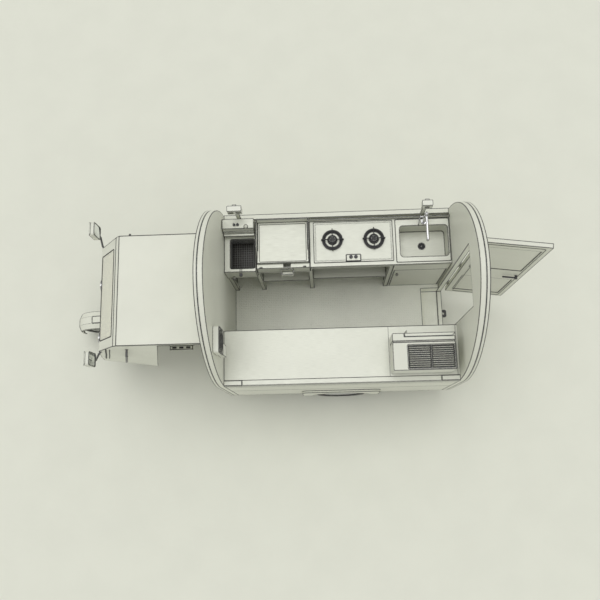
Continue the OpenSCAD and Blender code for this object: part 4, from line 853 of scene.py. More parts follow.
@dataclass
class RollingGear:
    """Treaded tyres, wheel nuts and hub caps."""

    bench: Bench
    rear_axle: Point = (1060, 0, 265)
    front_axle: Point = (-1430, 0, 250)
    track_half: float = 747.5
    rear_size: tuple[float, float] = (265, 72.5)
    front_size: tuple[float, float] = (250, 64)
    bead_radius: float = 158.3
    tread_depth: float = 5.0
    facets: int = 144
    shoulder_depth: float = 14
    shoulder_span: tuple[float, float] = (0.42, 0.9)
    nut_circle: float = 60.0
    nut_size: tuple[float, float] = (9.5, 11)
    nut_bevel: float = 1.1
    cap_reach: float = 14
    cap: Outline = ((0, 0), (22, 0), (24, 2), (24, 12), (20, 20), (12, 24), (0, 25))

    def tyre_profile(self, radius: float, half: float) -> list[tuple[float, float]]:
        """Lays out a tyre with three grooves round its tread.

        Args:
            radius: the tyre's outer radius, in millimetres.
            half: half of its width.

        Returns:
            The outline, as radius and height along the axle.
        """
        foot = self.bead_radius + 13
        rise = radius - foot
        side = [(self.bead_radius, half * 0.78), (foot, half * 0.78), (foot + rise * 0.18, half * 0.93),
                (foot + rise * 0.3, half * 0.97), (foot + rise * 0.34, half * 0.955),
                (foot + rise * 0.5, half * 0.995), (foot + rise * 0.68, half * 0.97),
                (foot + rise * 0.86, half * 0.88), (foot + rise * 0.96, half * 0.74)]
        crown = [(radius - 0.6, half * 0.62), (radius - 0.5, half * 0.42),
                 (radius - self.tread_depth, half * 0.40), (radius - self.tread_depth, half * 0.31),
                 (radius - 0.1, half * 0.29), (radius, half * 0.08),
                 (radius - self.tread_depth, half * 0.07)]
        upper = side + crown
        lower = [(r, -h) for r, h in reversed(upper)]
        return upper + lower

    def tyre(self, name: str, body: str, node: str, centre: Point, radius: float, half: float) -> None:
        """One tyre with cross grooves cut in its shoulders.

        Args:
            name: the piece's name.
            body: the body that it rides on.
            node: the CAD node that it stands for.
            centre: the wheel's middle, in millimetres.
            radius: the tyre's outer radius.
            half: half of its width.
        """
        obj = self.bench.spun(self.tyre_profile(radius, half), centre, (0, 1, 0), self.facets)
        middle = Spot.at(*centre)
        pitch = math.tau / self.facets
        inner, outer = self.shoulder_span

        def shoulder(point: Vector, _normal: Vector) -> bool:
            """Says whether a face lies on a shoulder and gets a groove.

            Args:
                point: the face's middle, in the frame.
                _normal: which way the face looks, which makes no difference here.

            Returns:
                Whether it is one of every three round the shoulder.
            """
            out = point - middle
            reach = math.hypot(out.x, out.z)
            across = abs(out.y) / (half * MM)
            index = int(round(math.atan2(out.z, out.x) / pitch - 0.5))
            return reach > (radius - self.shoulder_depth) * MM and inner < across < outer and index % 3 == 0

        self.bench.edit(obj)
        self.bench.pick(obj, shoulder)
        bpy.ops.mesh.extrude_region_shrink_fatten(
            TRANSFORM_OT_shrink_fatten={"value": -self.tread_depth * MM * 0.8})
        self.bench.clear()
        self.bench.finish(obj, name, body, TYRE, [node], 30)

    def hub(self, name: str, body: str, centre: Point, side: int) -> None:
        """Four nuts and a domed cap on one side of a wheel.

        Args:
            name: the piece's name.
            body: the body that it rides on.
            centre: the middle of the wheel's outer face, in millimetres.
            side: which way that face looks, -1 or 1.
        """
        bench = self.bench
        x, y, z = centre
        radius, height = self.nut_size
        bench.clear()
        bpy.ops.mesh.primitive_cylinder_add(vertices=6, radius=radius * MM, depth=height * MM,
                                            location=Spot.at(x, y, z))
        nut = bpy.context.object
        nut.rotation_euler = (math.pi / 2, 0, 0)
        bench.settle(nut)
        bench.edit(nut, "EDGE")
        bpy.ops.mesh.bevel(offset=self.nut_bevel * MM, segments=1, affect="EDGES")
        bench.clear()
        moves = [turned_about(Spot.at(x, y, z), (0, 1, 0), 90 * i)
                 @ Matrix.Translation((self.nut_circle * MM, 0, 0)) for i in range(4)]
        nuts = bench.repeat(nut, moves)
        cap = bench.spun(self.cap, (x, y + side * 2, z), (0, side, 0), 40)
        bench.finish(bench.join([nuts, cap]), name, body, CHROME)

    def build(self) -> None:
        """Makes the three tyres and the fittings of the rear wheels."""
        x, _, z = self.rear_axle
        sides = (("left", -1), ("right", 1))
        for name, side in sides:
            self.tyre(f"{name}_tread", f"{name}_rear_wheel", f"{name}_tyre", (x, side * self.track_half, z),
                      *self.rear_size)
        self.tyre("front_tread", "front_wheel_set", "front_tyre", self.front_axle, *self.front_size)
        for name, side in sides:
            face = (x, side * (self.track_half + self.cap_reach), z)
            self.hub(f"{name}_hub_cap", f"{name}_rear_wheel", face, side)


@dataclass
class SeatSet:
    """The stuffed seat and back cushions of the cab."""

    bench: Bench
    voxel: float = 0.006
    pressure: float = 4.0
    frames: int = 20
    reach: float = 0.022
    inset: float = 5.0
    crown: float = 23.0
    channel_depth: float = 0.008
    channel_width: float = 0.009
    channels: tuple[float, ...] = (-130.0, 0.0, 130.0)
    seat_rear: float = -132.0
    seat_depth: float = 88
    back_front: float = -126.0
    back_foot: float = 118
    corner: float = 14
    piping_radius: float = 3.6

    def pad(self, low: Point, high: Point, resting: int) -> bpy.types.Object:
        """One cushion, blown up by a cloth simulation and kept within its space.

        Args:
            low: its lowest corner, in millimetres.
            high: its highest corner.
            resting: which axis its flat face is square to, 2 for the seat and 0 for the back.

        Returns:
            The cushion.
        """
        bench = self.bench
        start = [v + self.inset for v in low]
        stop = [v - self.inset for v in high]
        if resting == 2:
            start[2], stop[2] = low[2] + 1, high[2] - self.crown
        else:
            start[0], stop[0] = low[0] + self.crown, high[0] - 1
        obj = bench.slab(tuple(start), tuple(stop), self.corner, 4)
        bench.only(obj)
        obj.data.remesh_voxel_size = self.voxel
        bpy.ops.object.voxel_remesh()
        self._blow_up(obj)
        bench.edit(obj)
        bpy.ops.mesh.vertices_smooth(factor=0.5, repeat=3)
        bpy.ops.mesh.subdivide(number_cuts=1, smoothness=0.6)
        bench.clear()
        floor, roof = Spot.at(*low), Spot.at(*high)
        for vertex in obj.data.vertices:
            p = vertex.co
            if resting == 2:
                depth = (p.z - floor.z) / (roof.z - floor.z)
            else:
                depth = (roof.x - p.x) / (roof.x - floor.x)
            sink = sum(math.exp(-((p.y - line * MM) / self.channel_width) ** 2) for line in self.channels)
            sink *= self.channel_depth * min(1.0, max(0.0, depth - 0.3) * 2.5)
            if resting == 2:
                p.z -= sink
            else:
                p.x += sink
            for axis in range(3):
                p[axis] = min(max(p[axis], floor[axis]), roof[axis])
        return obj

    def _blow_up(self, obj: bpy.types.Object) -> None:
        """Runs the cloth simulation and keeps its result, each point moved no further than reach.

        Args:
            obj: the remeshed cushion.
        """
        bench = self.bench
        rest = [v.co.copy() for v in obj.data.vertices]
        cloth = obj.modifiers.new("stuffing", "CLOTH")
        cloth.settings.use_pressure = True
        cloth.settings.uniform_pressure_force = self.pressure
        cloth.settings.effector_weights.gravity = 0
        cloth.settings.quality = 4
        cloth.point_cache.frame_start = 1
        cloth.point_cache.frame_end = self.frames
        scene = bpy.context.scene
        for frame in range(1, self.frames + 1):
            scene.frame_set(frame)
        bench.apply(obj)
        for vertex, old in zip(obj.data.vertices, rest):
            step = vertex.co - old
            if step.length > self.reach:
                vertex.co = old + step * (self.reach / step.length)
        scene.frame_set(1)

    def piping(self, pad: bpy.types.Object, low: Point, high: Point, resting: int) -> bpy.types.Object:
        """The sewn piping that lies on a cushion, round its face.

        Args:
            pad: the finished cushion.
            low: its lowest corner, in millimetres.
            high: its highest corner.
            resting: which axis its flat face is square to.

        Returns:
            The closed bead.
        """
        if resting == 2:
            level = high[2] - self.crown - 4
            ring = self._ring((low[0], low[1]), (high[0], high[1]))
            points = [(u, v, level) for u, v in ring]
        else:
            level = low[0] + self.crown + 4
            ring = self._ring((low[1], low[2]), (high[1], high[2]))
            points = [(level, u, v) for u, v in ring]
        laid = []
        for point in points:
            found, place, normal, _face = pad.closest_point_on_mesh(Spot.at(*point))
            place = place + normal * 0.001 if found else Spot.at(*point)
            laid.append(((place.x - Spot.shift) / MM, place.y / MM, place.z / MM))
        return self.bench.tube(laid, self.piping_radius, closed=True)

    @staticmethod
    def _ring(low: tuple[float, float], high: tuple[float, float]) -> list[tuple[float, float]]:
        """Lays points round a rectangle, twelve to a side.

        Args:
            low: its lowest corner.
            high: its highest corner.

        Returns:
            The points, in order.
        """
        (a, b), (c, d) = low, high
        corners = [(a, b), (c, b), (c, d), (a, d)]
        points = []
        for i, (x0, y0) in enumerate(corners):
            x1, y1 = corners[(i + 1) % 4]
            for step in range(12):
                t = (step + 0.5) / 12
                points.append((x0 + (x1 - x0) * t, y0 + (y1 - y0) * t))
        return points

    def build(self) -> None:
        """Makes both cushions with their piping, in the places that the frame gives."""
        low, high = Spot.box("seat_cushions")
        seat = ((low.x, low.y, low.z), (self.seat_rear, high.y, low.z + self.seat_depth))
        back = ((self.back_front, low.y, low.z + self.back_foot), (high.x, high.y, high.z))
        for name, (a, b), resting in (("seat_pad", seat, 2), ("back_pad", back, 0)):
            pad = self.pad(a, b, resting)
            self.bench.finish(pad, name, "vehicle", VINYL, ["seat_cushions"], 60)
            self.bench.finish(self.piping(pad, a, b, resting), name + "_piping", "vehicle", VINYL)


@dataclass
class CabTrim:
    """Lamps, corner trims, edgings, step rubbers, mirror glass and handlebar fittings."""

    bench: Bench
    nodes: dict[str, bpy.types.Object]
    screen_foot: Point = (-1095, 0, 1491)
    screen_tilt: float = 35.67
    screen_half: float = 386.0
    screen_low: float = 14.0
    screen_high: float = 322.0
    rake: float = 25.0
    wheel: Point = (-1430, 0, 250)
    lamp: Point = (-1268, 262, 905)
    bowl: Outline = ((0, -52), (24, -50), (48, -30), (62, 4), (66, 8), (66, -58), (0, -60))
    rim: Outline = ((60, 4), (66, 2), (66, 12), (63, 15), (60, 12))
    lens: Outline = ((61, 7), (61, 12), (46, 20), (26, 26), (0, 28), (0, 25), (26, 23), (45, 17), (58, 10))
    indicator_out: float = 372
    indicator: Outline = ((0, -14), (24, -14), (24, 4), (20, 9), (10, 12), (0, 13))
    corner_bars: tuple[tuple[float, Outline], ...] = (
        (7.0, ((-990, 1625), (-1036, 1475), (-1097, 1270), (-1163, 1064), (-1186, 985))),
        (4.5, ((-958, 1618), (-1018, 1429), (-1090, 1190), (-1160, 975))))
    fender_edge: float = 231
    fender_half: float = 90
    fender_lip: tuple[Point, ...] = (
        (-90, 236, 150), (-90, 252, 157), (-62, 265, 161), (-36, 275, 163), (0, 275, 163), (36, 275, 163),
        (62, 265, 161), (90, 252, 157), (90, 236, 150))
    step_along: tuple[float, float] = (-684, -453)
    step_out: tuple[float, float] = (294, 331)
    step_ribs: tuple[float, ...] = (-640, -568, -496)
    pane_low: Point = (-1082.4, 522, 1621)
    pane_high: Point = (-1079.4, 623, 1785)
    grip: Point = (52, 166, 1114)
    grip_ribs: int = 12
    rib_pitch: float = 7.5
    pod: Outline = ((0, -26), (30, -26), (46, -14), (48, 0), (48, 9), (44, 11), (43, 5), (0, 5))
    pod_place: Point = (6, 0, 1134.0)
    marks: int = 11

    def on_screen(self, out: float, across: float, up: float) -> Point:
        """Finds a point by the windscreen's own axes.

        Args:
            out: how far it stands out from the screen's face, in millimetres.
            across: how far it is from the screen's middle.
            up: how far it is up the screen from its foot.

        Returns:
            The point.
        """
        a = math.radians(self.screen_tilt)
        return (self.screen_foot[0] + out * math.cos(a) + up * math.sin(a), across,
                self.screen_foot[2] - out * math.sin(a) + up * math.cos(a))

    def on_steering(self, back: float, across: float, up: float) -> Point:
        """Finds a point by the steering's own raked axes, counted from the wheel's middle.

        Args:
            back: how far it is behind the steering axis, in millimetres.
            across: how far it is to the side.
            up: how far it is up the steering axis.

        Returns:
            The point.
        """
        a = math.radians(self.rake)
        return (self.wheel[0] + back * math.cos(a) + up * math.sin(a), across,
                self.wheel[2] - back * math.sin(a) + up * math.cos(a))

    def round_wheel(self, across: float, radius: float, angle: float) -> Point:
        """Returns a point round the front wheel, at a radius and an angle in degrees."""
        a = math.radians(angle)
        return self.wheel[0] + radius * math.cos(a), across, self.wheel[2] + radius * math.sin(a)

    def screen(self) -> None:
        """The rubber round the windscreen."""
        bench = self.bench
        half, low, high = self.screen_half, self.screen_low, self.screen_high
        rubber = bench.ring_outline((-half, low), (half, high), 12,
                                    lambda u, v: self.on_screen(-0.5, u, v), 4)
        bench.finish(rubber, "screen_rubber", "vehicle", RUBBER)

    def lamps(self) -> None:
        """Headlamps with bowl, rim and lens, and the amber lamps beside them."""
        bench = self.bench
        bowls, rims, lenses, ambers = [], [], [], []
        x, out, z = self.lamp
        for side in (-1, 1):
            place, ahead = (x, side * out, z), (-1, 0, 0)
            bowls.append(bench.spun(self.bowl, place, ahead, 48))
            rims.append(bench.spun(self.rim, place, ahead, 48))
            lenses.append(bench.spun(self.lens, place, ahead, 48))
            seat = Spot.hit(self.nodes["cab_nose"], (-1500, side * self.indicator_out, z), (1, 0, 0))
            ambers.append(bench.spun(self.indicator, seat, ahead, 32))
        bench.finish(bench.join(bowls), "headlamp_bowls", "vehicle", CHROME, ["lamps"])
        bench.finish(bench.join(rims), "headlamp_rims", "vehicle", BRIGHT)
        bench.finish(bench.join(lenses), "headlamp_lenses", "vehicle", LENS)
        bench.finish(bench.join(ambers), "front_indicators", "vehicle", AMBER)

    def corner_trims(self) -> None:
        """The slim upright trim near each front corner of the nose."""
        bench = self.bench
        bars = []
        for side in (-1, 1):
            for radius, line in self.corner_bars:
                path = [Spot.hit(self.nodes["cab_nose"], (x, side * 700, z), (0, -side, 0)) for x, z in line]
                bars.append(bench.tube(path, radius))
        bench.finish(bench.join(bars), "nose_corner_trims", "vehicle", RUBBER)

    def edging(self) -> None:
        """The drip moulding round the roof and the rubber along the fender's edges."""
        bench = self.bench
        low, high = Spot.box("cab_roof")
        moulding = bench.ring_outline((low.x + 39, low.y + 2), (high.x - 4, high.y - 2), 5,
                                      lambda u, v: (u, v, high.z - 1), 3.6)
        bench.finish(moulding, "roof_moulding", "vehicle", RUBBER)
        edges = []
        for side in (-1, 1):
            across = side * self.fender_half
            arc = [self.round_wheel(across, self.fender_edge, -11 + 202 * i / 34) for i in range(35)]
            edges.append(bench.tube(arc, 4))
        edges.append(bench.tube([self.round_wheel(*spot) for spot in self.fender_lip], 4.5))
        bench.finish(bench.join(edges), "fender_edging", "steering", RUBBER)

    def steps(self) -> None:
        """A rubber edge round the top of each step plate, and three ribs across it."""
        bench = self.bench
        high = Spot.hit(self.nodes["cab_floor"], (-570, 312, 700), (0, 0, -1))[2]
        pieces = []
        for side in (-1, 1):
            near, far = sorted(side * out for out in self.step_out)
            start, stop = self.step_along
            pieces.append(bench.ring_outline((start, near), (stop, far), 6, lambda u, v: (u, v, high), 4))
            for x in self.step_ribs:
                pieces.append(bench.slab((x - 22, near + 9, high - 0.5), (x + 22, far - 9, high + 2), 0.8))
        bench.finish(bench.join(pieces), "step_rubbers", "vehicle", RUBBER)

    def mirrors(self) -> None:
        """The silvered glass in each mirror head."""
        for side, body in ((-1, "mirror_left"), (1, "mirror_right")):
            (back, inner, foot), (front, outer, head) = self.pane_low, self.pane_high
            low, high = sorted((side * inner, side * outer))
            pane = self.bench.slab((back, low, foot), (front, high, head), 1.2)
            self.bench.finish(pane, f"{body}_glass", body, MIRROR)

    def controls(self) -> None:
        """Ribbed grips and brake levers on the handlebar."""
        bench = self.bench
        grips, levers, ribs = [], [], []
        for i in range(self.grip_ribs):
            foot = i * self.rib_pitch
            ribs += [(18.5, foot), (18.5, foot + 5), (16.6, foot + 5.6), (16.6, foot + 6.9)]
        back, out, up = self.grip
        for side in (-1, 1):
            grips.append(bench.spun([(16.1, -0.5), *ribs, (16.1, 92)], self.on_steering(back, side * out, up),
                                    (0, side, 0), 28))
            lever = [self.on_steering(30, side * 150, 1110), self.on_steering(2, side * 180, 1106),
                     self.on_steering(4, side * 245, 1104)]
            levers.append(bench.tube(lever, 4.5))
            perch = [self.on_steering(back, side * 146, up), self.on_steering(22, side * 150, 1109)]
            levers.append(bench.tube(perch, 7, smooth=False))
        bench.finish(bench.join(grips), "bar_grips", "steering", RUBBER)
        bench.finish(bench.join(levers), "brake_levers", "steering", CHROME)

    def gauge(self) -> None:
        """The round gauge on the handlebar, with plain marks and a needle."""
        bench = self.bench
        back, across, height = self.pod_place
        up = (math.sin(math.radians(self.rake)), 0, math.cos(math.radians(self.rake)))
        pod = bench.spun(self.pod, self.on_steering(back, across, height), up, 40)
        bench.finish(pod, "gauge_pod", "steering", DARK)
        to_middle = Matrix.Translation(Vector((-Spot.shift, 0, 0)))
        marks = []
        for i in range(self.marks):
            tick = bench.slab((-0.9, 31, 0), (0.9, 40, 1.2), 0)
            tick.data.transform(to_middle)
            tick.data.transform(Matrix.Rotation(math.radians(-120 + 24 * i), 4, "Z"))
            marks.append(tick)
        needle = bench.slab((-1.1, -8, 1.4), (1.1, 30, 2.4), 0)
        needle.data.transform(to_middle)
        face = bench.join([*marks, needle])
        face.data.transform(Vector((0, 0, 1)).rotation_difference(Vector(up)).to_matrix().to_4x4())
        face.data.transform(Matrix.Translation(Spot.at(*self.on_steering(back, across, height + 5))))
        bench.finish(face, "gauge_marks", "steering", PALE)

    def build(self) -> None:
        """Makes all the cab's fittings."""
        self.screen()
        self.lamps()
        self.corner_trims()
        self.edging()
        self.steps()
        self.mirrors()
        self.controls()
        self.gauge()


@dataclass
class BodyTrim:
    """Rivets, rim and flare edgings, door trim and rear lamps."""

    bench: Bench
    half: float = 800.0
    spring: float = 1212.0
    rise: float = 1238.0
    power: float = 1.92
    rim_width: float = 60.0
    pivot: Point = (2195, 280, 0)
    open_angle: float = 82.5
    rims: tuple[tuple[str, float, int], ...] = (("front", -75.0, -1), ("rear", 2175.0, 1))
    rivet_along: tuple[float, float, int] = (40, 96.0, 22)
    seam_height: float = 1165.0
    skirt_height: float = 330.0
    flare_height: float = 660.0
    flare_reach: float = 400
    flare_radius: float = 290
    rear_axle: Point = (1060, 0, 265)
    seal_low: tuple[float, float] = (-262, 380)
    seal_high: tuple[float, float] = (208, 2070)
    kick_low: Point = (2194.6, -285, 352)
    kick_high: Point = (2196.4, 210, 500)
    hinge_heights: tuple[float, ...] = (528, 1225, 1922)
    hinge_face: float = 2198.0
    lamp_face: float = 2148
    lamp_out: float = 640
    lamp_heights: tuple[float, float] = (720, 610)
    bezel: Outline = ((33, 0), (40, 0), (40, 7), (37, 10), (33, 9))
    lens: Outline = ((0, 0), (33, 0), (33, 8), (26, 14), (12, 17), (0, 18))

    def arch(self, inset: float, angle: float) -> tuple[float, float]:
        """Finds a place on the arch of the end walls.

        Args:
            inset: how far it is inside the arch's outline, in millimetres.
            angle: how far round the arch it is, in degrees.

        Returns:
            Its Y and Z.
        """
        w, h, p = self.half - inset, self.rise - inset, 2 / self.power
        c, s = math.cos(math.radians(angle)), math.sin(math.radians(angle))
        return w * math.copysign(abs(c) ** p, c), self.spring + h * max(s, 0.0) ** p

    def rivet(self, place: Point, axis: Point, radius: float = 5.0) -> bpy.types.Object:
        """One domed rivet.

        Args:
            place: where it sits, in millimetres.
            axis: which way its head looks.
            radius: its radius.

        Returns:
            The rivet.
        """
        r = radius
        head = [(0, -1), (r, -1), (r, 0.4), (r * 0.8, r * 0.35), (r * 0.4, r * 0.5), (0, r * 0.52)]
        return self.bench.spun(head, place, axis, 10)

    def rows(self, name: str, first: bpy.types.Object, start: Point, spots: Sequence[Point]) -> None:
        """Copies a rivet to each spot and finishes the row.

        Args:
            name: the row's name.
            first: the rivet.
            start: where it was made, in millimetres.
            spots: where its copies go.
        """
        origin = Spot.at(*start)
        moves = [Matrix.Translation(Spot.at(*spot) - origin) for spot in spots]
        self.bench.finish(self.bench.repeat(first, moves), name, "vehicle", BRIGHT)

    def rim_rivets(self) -> None:
        """Rivets round both arch rims."""
        middle = self.rim_width / 2
        for name, face, way in self.rims:
            x = face + way
            spots = []
            for i in range(41):
                y, z = self.arch(middle, 180 * i / 40)
                spots.append((x, y, z))
            for side in (-1, 1):
                for z in range(360, 1180, 115):
                    spots.append((x, side * (self.half - middle), float(z)))
            self.rows(f"{name}_rim_rivets", self.rivet((x, 0, 0), (way, 0, 0)), (x, 0, 0), spots)

    def rim_edging(self) -> None:
        """Black rubber along the outer edge of both rims."""
        for name, face, way in self.rims:
            x = face - way
            path = [(x, self.half - 5, 340.0)]
            for i in range(61):
                y, z = self.arch(5, 180 * i / 60)
                path.append((x, y, z))
            path.append((x, 5 - self.half, 340.0))
            self.bench.finish(self.bench.tube(path, 4.5, smooth=False), f"{name}_rim_edging", "vehicle", RUBBER)

    def skirt_rivets(self) -> None:
        """Rivets along the seam and skirt of each side, and the rubber round each wheel arch."""
        start, pitch, count = self.rivet_along
        axle, _, height = self.rear_axle
        along = [start + i * pitch for i in range(count)]
        spots = [(x, self.seam_height) for x in along]
        spots += [(x, self.skirt_height if abs(x - axle) > self.flare_reach else self.flare_height)
                  for x in along]
        for name, side in (("serving_side_rivets", -1), ("kitchen_side_rivets", 1)):
            face = side * self.half
            self.rows(name, self.rivet((0, face, 0), (0, side, 0), 4), (0, face, 0),
                      [(x, face, z) for x, z in spots])
        for name, side in (("left_arch_rubber", -1), ("right_arch_rubber", 1)):
            arc = []
            for i in range(25):
                a = math.radians(8 + 164 * i / 24)
                arc.append((axle + self.flare_radius * math.cos(a), side * (self.half + 20),
                            height + self.flare_radius * math.sin(a)))
            self.bench.finish(self.bench.tube(arc, 4), name, "vehicle", RUBBER)

    def door(self) -> None:
        """The rubber seal, hinge screws and kick plate of the rear door."""
        bench = self.bench
        turn = turned_about(Spot.at(*self.pivot), (0, 0, 1), self.open_angle)
        seal = bench.ring_outline(self.seal_low, self.seal_high, 20, lambda u, v: (2151, u, v), 2)
        kick = bench.slab(self.kick_low, self.kick_high, 0.4)
        plates, screws = [], []
        for z in self.hinge_heights:
            plates.append(bench.slab((self.pivot[0], 190, z - 44), (self.hinge_face, 262, z + 44), 0.8))
            screws += [(self.hinge_face, y, z + dz) for y in (206.0, 234.0) for dz in (-30, 0, 30)]
        leaf = bench.join(plates)
        origin = Spot.at(self.hinge_face, 0, 0)
        heads = bench.repeat(self.rivet((self.hinge_face, 0, 0), (1, 0, 0), 4.5),
                             [Matrix.Translation(Spot.at(*s) - origin) for s in screws])
        for piece, name, finish in ((seal, "door_seal", RUBBER), (kick, "door_kick_plate", STEEL),
                                    (leaf, "door_hinge_plates", STEEL), (heads, "door_hinge_screws", BRIGHT)):
            piece.data.transform(turn)
            bench.finish(piece, name, "door", finish)

    def rear_lamps(self) -> None:
        """Round red and amber lamps on the rear wall."""
        bench = self.bench
        bezels, reds, ambers = [], [], []
        for side in (-1, 1):
            for z, lenses in zip(self.lamp_heights, (reds, ambers)):
                place = (self.lamp_face, side * self.lamp_out, z)
                bezels.append(bench.spun(self.bezel, place, (1, 0, 0), 40))
                lenses.append(bench.spun(self.lens, place, (1, 0, 0), 36))
        bench.finish(bench.join(bezels), "rear_lamp_bezels", "vehicle", DARK, ["lamps"])
        bench.finish(bench.join(reds), "rear_lamps_red", "vehicle", RED)
        bench.finish(bench.join(ambers), "rear_lamps_amber", "vehicle", AMBER)

    def build(self) -> None:
        """Makes all the body's trim."""
        self.rim_rivets()
        self.rim_edging()
        self.skirt_rivets()
        self.door()
        self.rear_lamps()


@dataclass
class KitchenTrim:
    """Basket, oil, knob marks, gaskets, rings, feet, guard and other small parts of the kitchen."""

    bench: Bench
    nodes: dict[str, bpy.types.Object]
    counter: float = 1350.0
    tank_front: float = 280.0
    tank_back: float = 562.0
    pitch: float = 10.0
    wire: float = 2.6
    bar_counts: tuple[int, int] = (10, 12)
    handle_wires: tuple[float, float] = (152, 168)
    oil_low: Point = (60.5, 280.5, 1178.5)
    oil_high: Point = (290.5, 561.5, 1212)
    vent_low: Point = (1627, -711, 1591)
    vent_high: Point = (2015, -519, 1592)
    waste: Point = (1855, 489, 1168.2)
    strainer: Outline = ((0, 0), (26, 0), (30, 2.2), (26, 3.4), (8, 2), (8, 7), (0, 7.5))
    burner_along: tuple[float, float] = (1011, 1394)
    burner_across: float = 521
    flame_rings: tuple[Point, ...] = ((8, 14, 1385.4), (21, 28, 1384.6), (40, 45, 1374.4))
    drip_ring: Outline = ((69.5, 0), (95, 0), (95, 0.8), (92, 1.4), (72, 1.4), (69.5, 0.8))
    drip_foot: float = 1354.3
    counter_edge: tuple[tuple[float, float], ...] = ((3, -747), (3, -303), (2096, -303))
    leg_rows: tuple[tuple[tuple[float, ...], tuple[float, float]], ...] = (
        ((0, 280, 780, 1530), (270, 590)), ((3, 700, 1384, 2057), (-630, -343)))
    floor_level: float = 500.2
    guard_half: float = 101
    guard_rings: tuple[float, ...] = (22, 40, 58, 76, 94)
    sockets: tuple[tuple[float, float], ...] = ((114.5, 1705), (179.5, 1705), (1852.5, 1680))

    def basket(self) -> None:
        """The frying basket: woven wire sides, a stout rim and a wire handle."""
        bench = self.bench
        low, high = Spot.box("fryer_basket")
        x0, y0, z0 = low.x + 2, self.tank_front + 8, low.z + 2
        x1, y1, z1 = high.x - 2, self.tank_back - 8, self.counter + 1.5
        net = bench.slab((x0, y0, z0), (x1, y1, z1), 0)
        bench.edit(net)
        bench.pick(net, lambda c, n: n.z > 0.5)
        bpy.ops.mesh.delete(type="FACE")
        for axis, start, stop in ((0, x0, x1), (1, y0, y1), (2, z0, z1)):
            normal = [0.0, 0.0, 0.0]
            normal[axis] = 1.0
            count = int((stop - start) / self.pitch)
            for i in range(1, count):
                point = [0.0, 0.0, 0.0]
                point[axis] = start + (stop - start) * i / count
                bpy.ops.mesh.select_all(action="SELECT")
                bpy.ops.mesh.bisect(plane_co=Spot.at(*point), plane_no=normal)
        bench.clear()
        mesh = net.modifiers.new("weave", "WIREFRAME")
        mesh.thickness = self.wire * MM
        mesh.use_even_offset = False
        mesh.use_boundary = True
        bench.apply(net)
        bench.edit(net)
        bpy.ops.mesh.normals_make_consistent(inside=False)
        rim = bench.ring_outline((x0, y0), (x1, y1), 4, lambda u, v: (u, v, z1), 2.4)
        top = z1 + 13
        wires = [bench.tube([(x, y0 + 2, z1 - 34), (x, y0 - 0.5, z1 + 6), (x, y0 - 12, top),
                             (x, y0 - 60, top + 2), (x, low.y + 4, top)], 2.6) for x in self.handle_wires]
        bench.finish(bench.join([net, rim, *wires]), "basket_wire", "basket", WIRE, ["fryer_basket"])
        bars = []
        lengthways, crossways = self.bar_counts
        for i in range(1, lengthways):
            x = x0 + (x1 - x0) * i / lengthways
            bars.append(bench.tube([(x, y0 + 3, z0 + 3), (x, y1 - 3, z0 + 3)], 2.0, smooth=False))
        for i in range(1, crossways):
            y = y0 + (y1 - y0) * i / crossways
            bars.append(bench.tube([(x0 + 3, y, z0 + 6), (x1 - 3, y, z0 + 6)], 1.6, smooth=False))
        bench.finish(bench.join(bars), "basket_bars", "basket", BARS)
        grip = bench.slab((145, low.y, z1 + 3), (175, low.y + 32, high.z), 8, 4)
        bench.finish(grip, "basket_grip", "basket", DARK)

    def oil(self) -> None:
        """Still oil in the fryer's tank, under the basket."""
        pool = self.bench.slab(self.oil_low, self.oil_high, 1)
        self.bench.finish(pool, "tank_oil", "vehicle", OIL)

    def knob_marks(self) -> None:
        """A pale line on each turning knob."""
        for kind in ("fryer", "hob"):
            for side in ("left", "right"):
                low, high = Spot.box(f"{kind}_knob_{side}")
                x, y = (low.x + high.x) / 2, (low.y + high.y) / 2
                mark = self.bench.slab((x - 1, low.y + 2, high.z - 0.2), (x + 1, y, high.z), 0)
                self.bench.finish(mark, f"{kind}_mark_{side}", f"{kind}_dial_{side}", PALE)

    def grilles(self) -> None:
        """The dark inner mesh of the oven's vent."""
        mesh = self.bench.slab(self.vent_low, self.vent_high, 0)
        self.bench.finish(mesh, "oven_vent_mesh", "vehicle", DARK)

    def drain(self) -> None:
        """The strainer in the sink."""
        plate = self.bench.spun(self.strainer, self.waste, (0, 0, 1), 36)
        self.bench.finish(plate, "sink_strainer", "vehicle", STEEL)

    def seals(self) -> None:
        """The gaskets of the hob and sink, the counter's edging and the line round the griddle."""
        bench = self.bench
        for node, name in (("hob_plate", "hob_gasket"), ("sink_bowl", "sink_gasket")):
            low, high = Spot.box(node)
            bead = bench.ring_outline((low.x + 1, low.y + 1), (high.x - 1, high.y - 1), 8,
                                      lambda u, v: (u, v, self.counter + 2), 3)
            bench.finish(bead, name, "vehicle", RUBBER)
        edge = bench.tube([(x, y, self.counter + 0.5) for x, y in self.counter_edge], 2.8, smooth=False)
        bench.finish(edge, "counter_edging", "vehicle", RUBBER)
        low, high = Spot.box("griddle_plate")
        face = Spot.hit(self.nodes["griddle_plate"], ((low.x + high.x) / 2, (low.y + high.y) / 2, 1500),
                        (0, 0, -1))[2]
        line = bench.ring_outline((low.x + 26, low.y + 12), (high.x - 26, high.y - 26), 8,
                                  lambda u, v: (u, v, face - 1.2), 3)
        bench.finish(line, "griddle_edge_line", "vehicle", IRON)

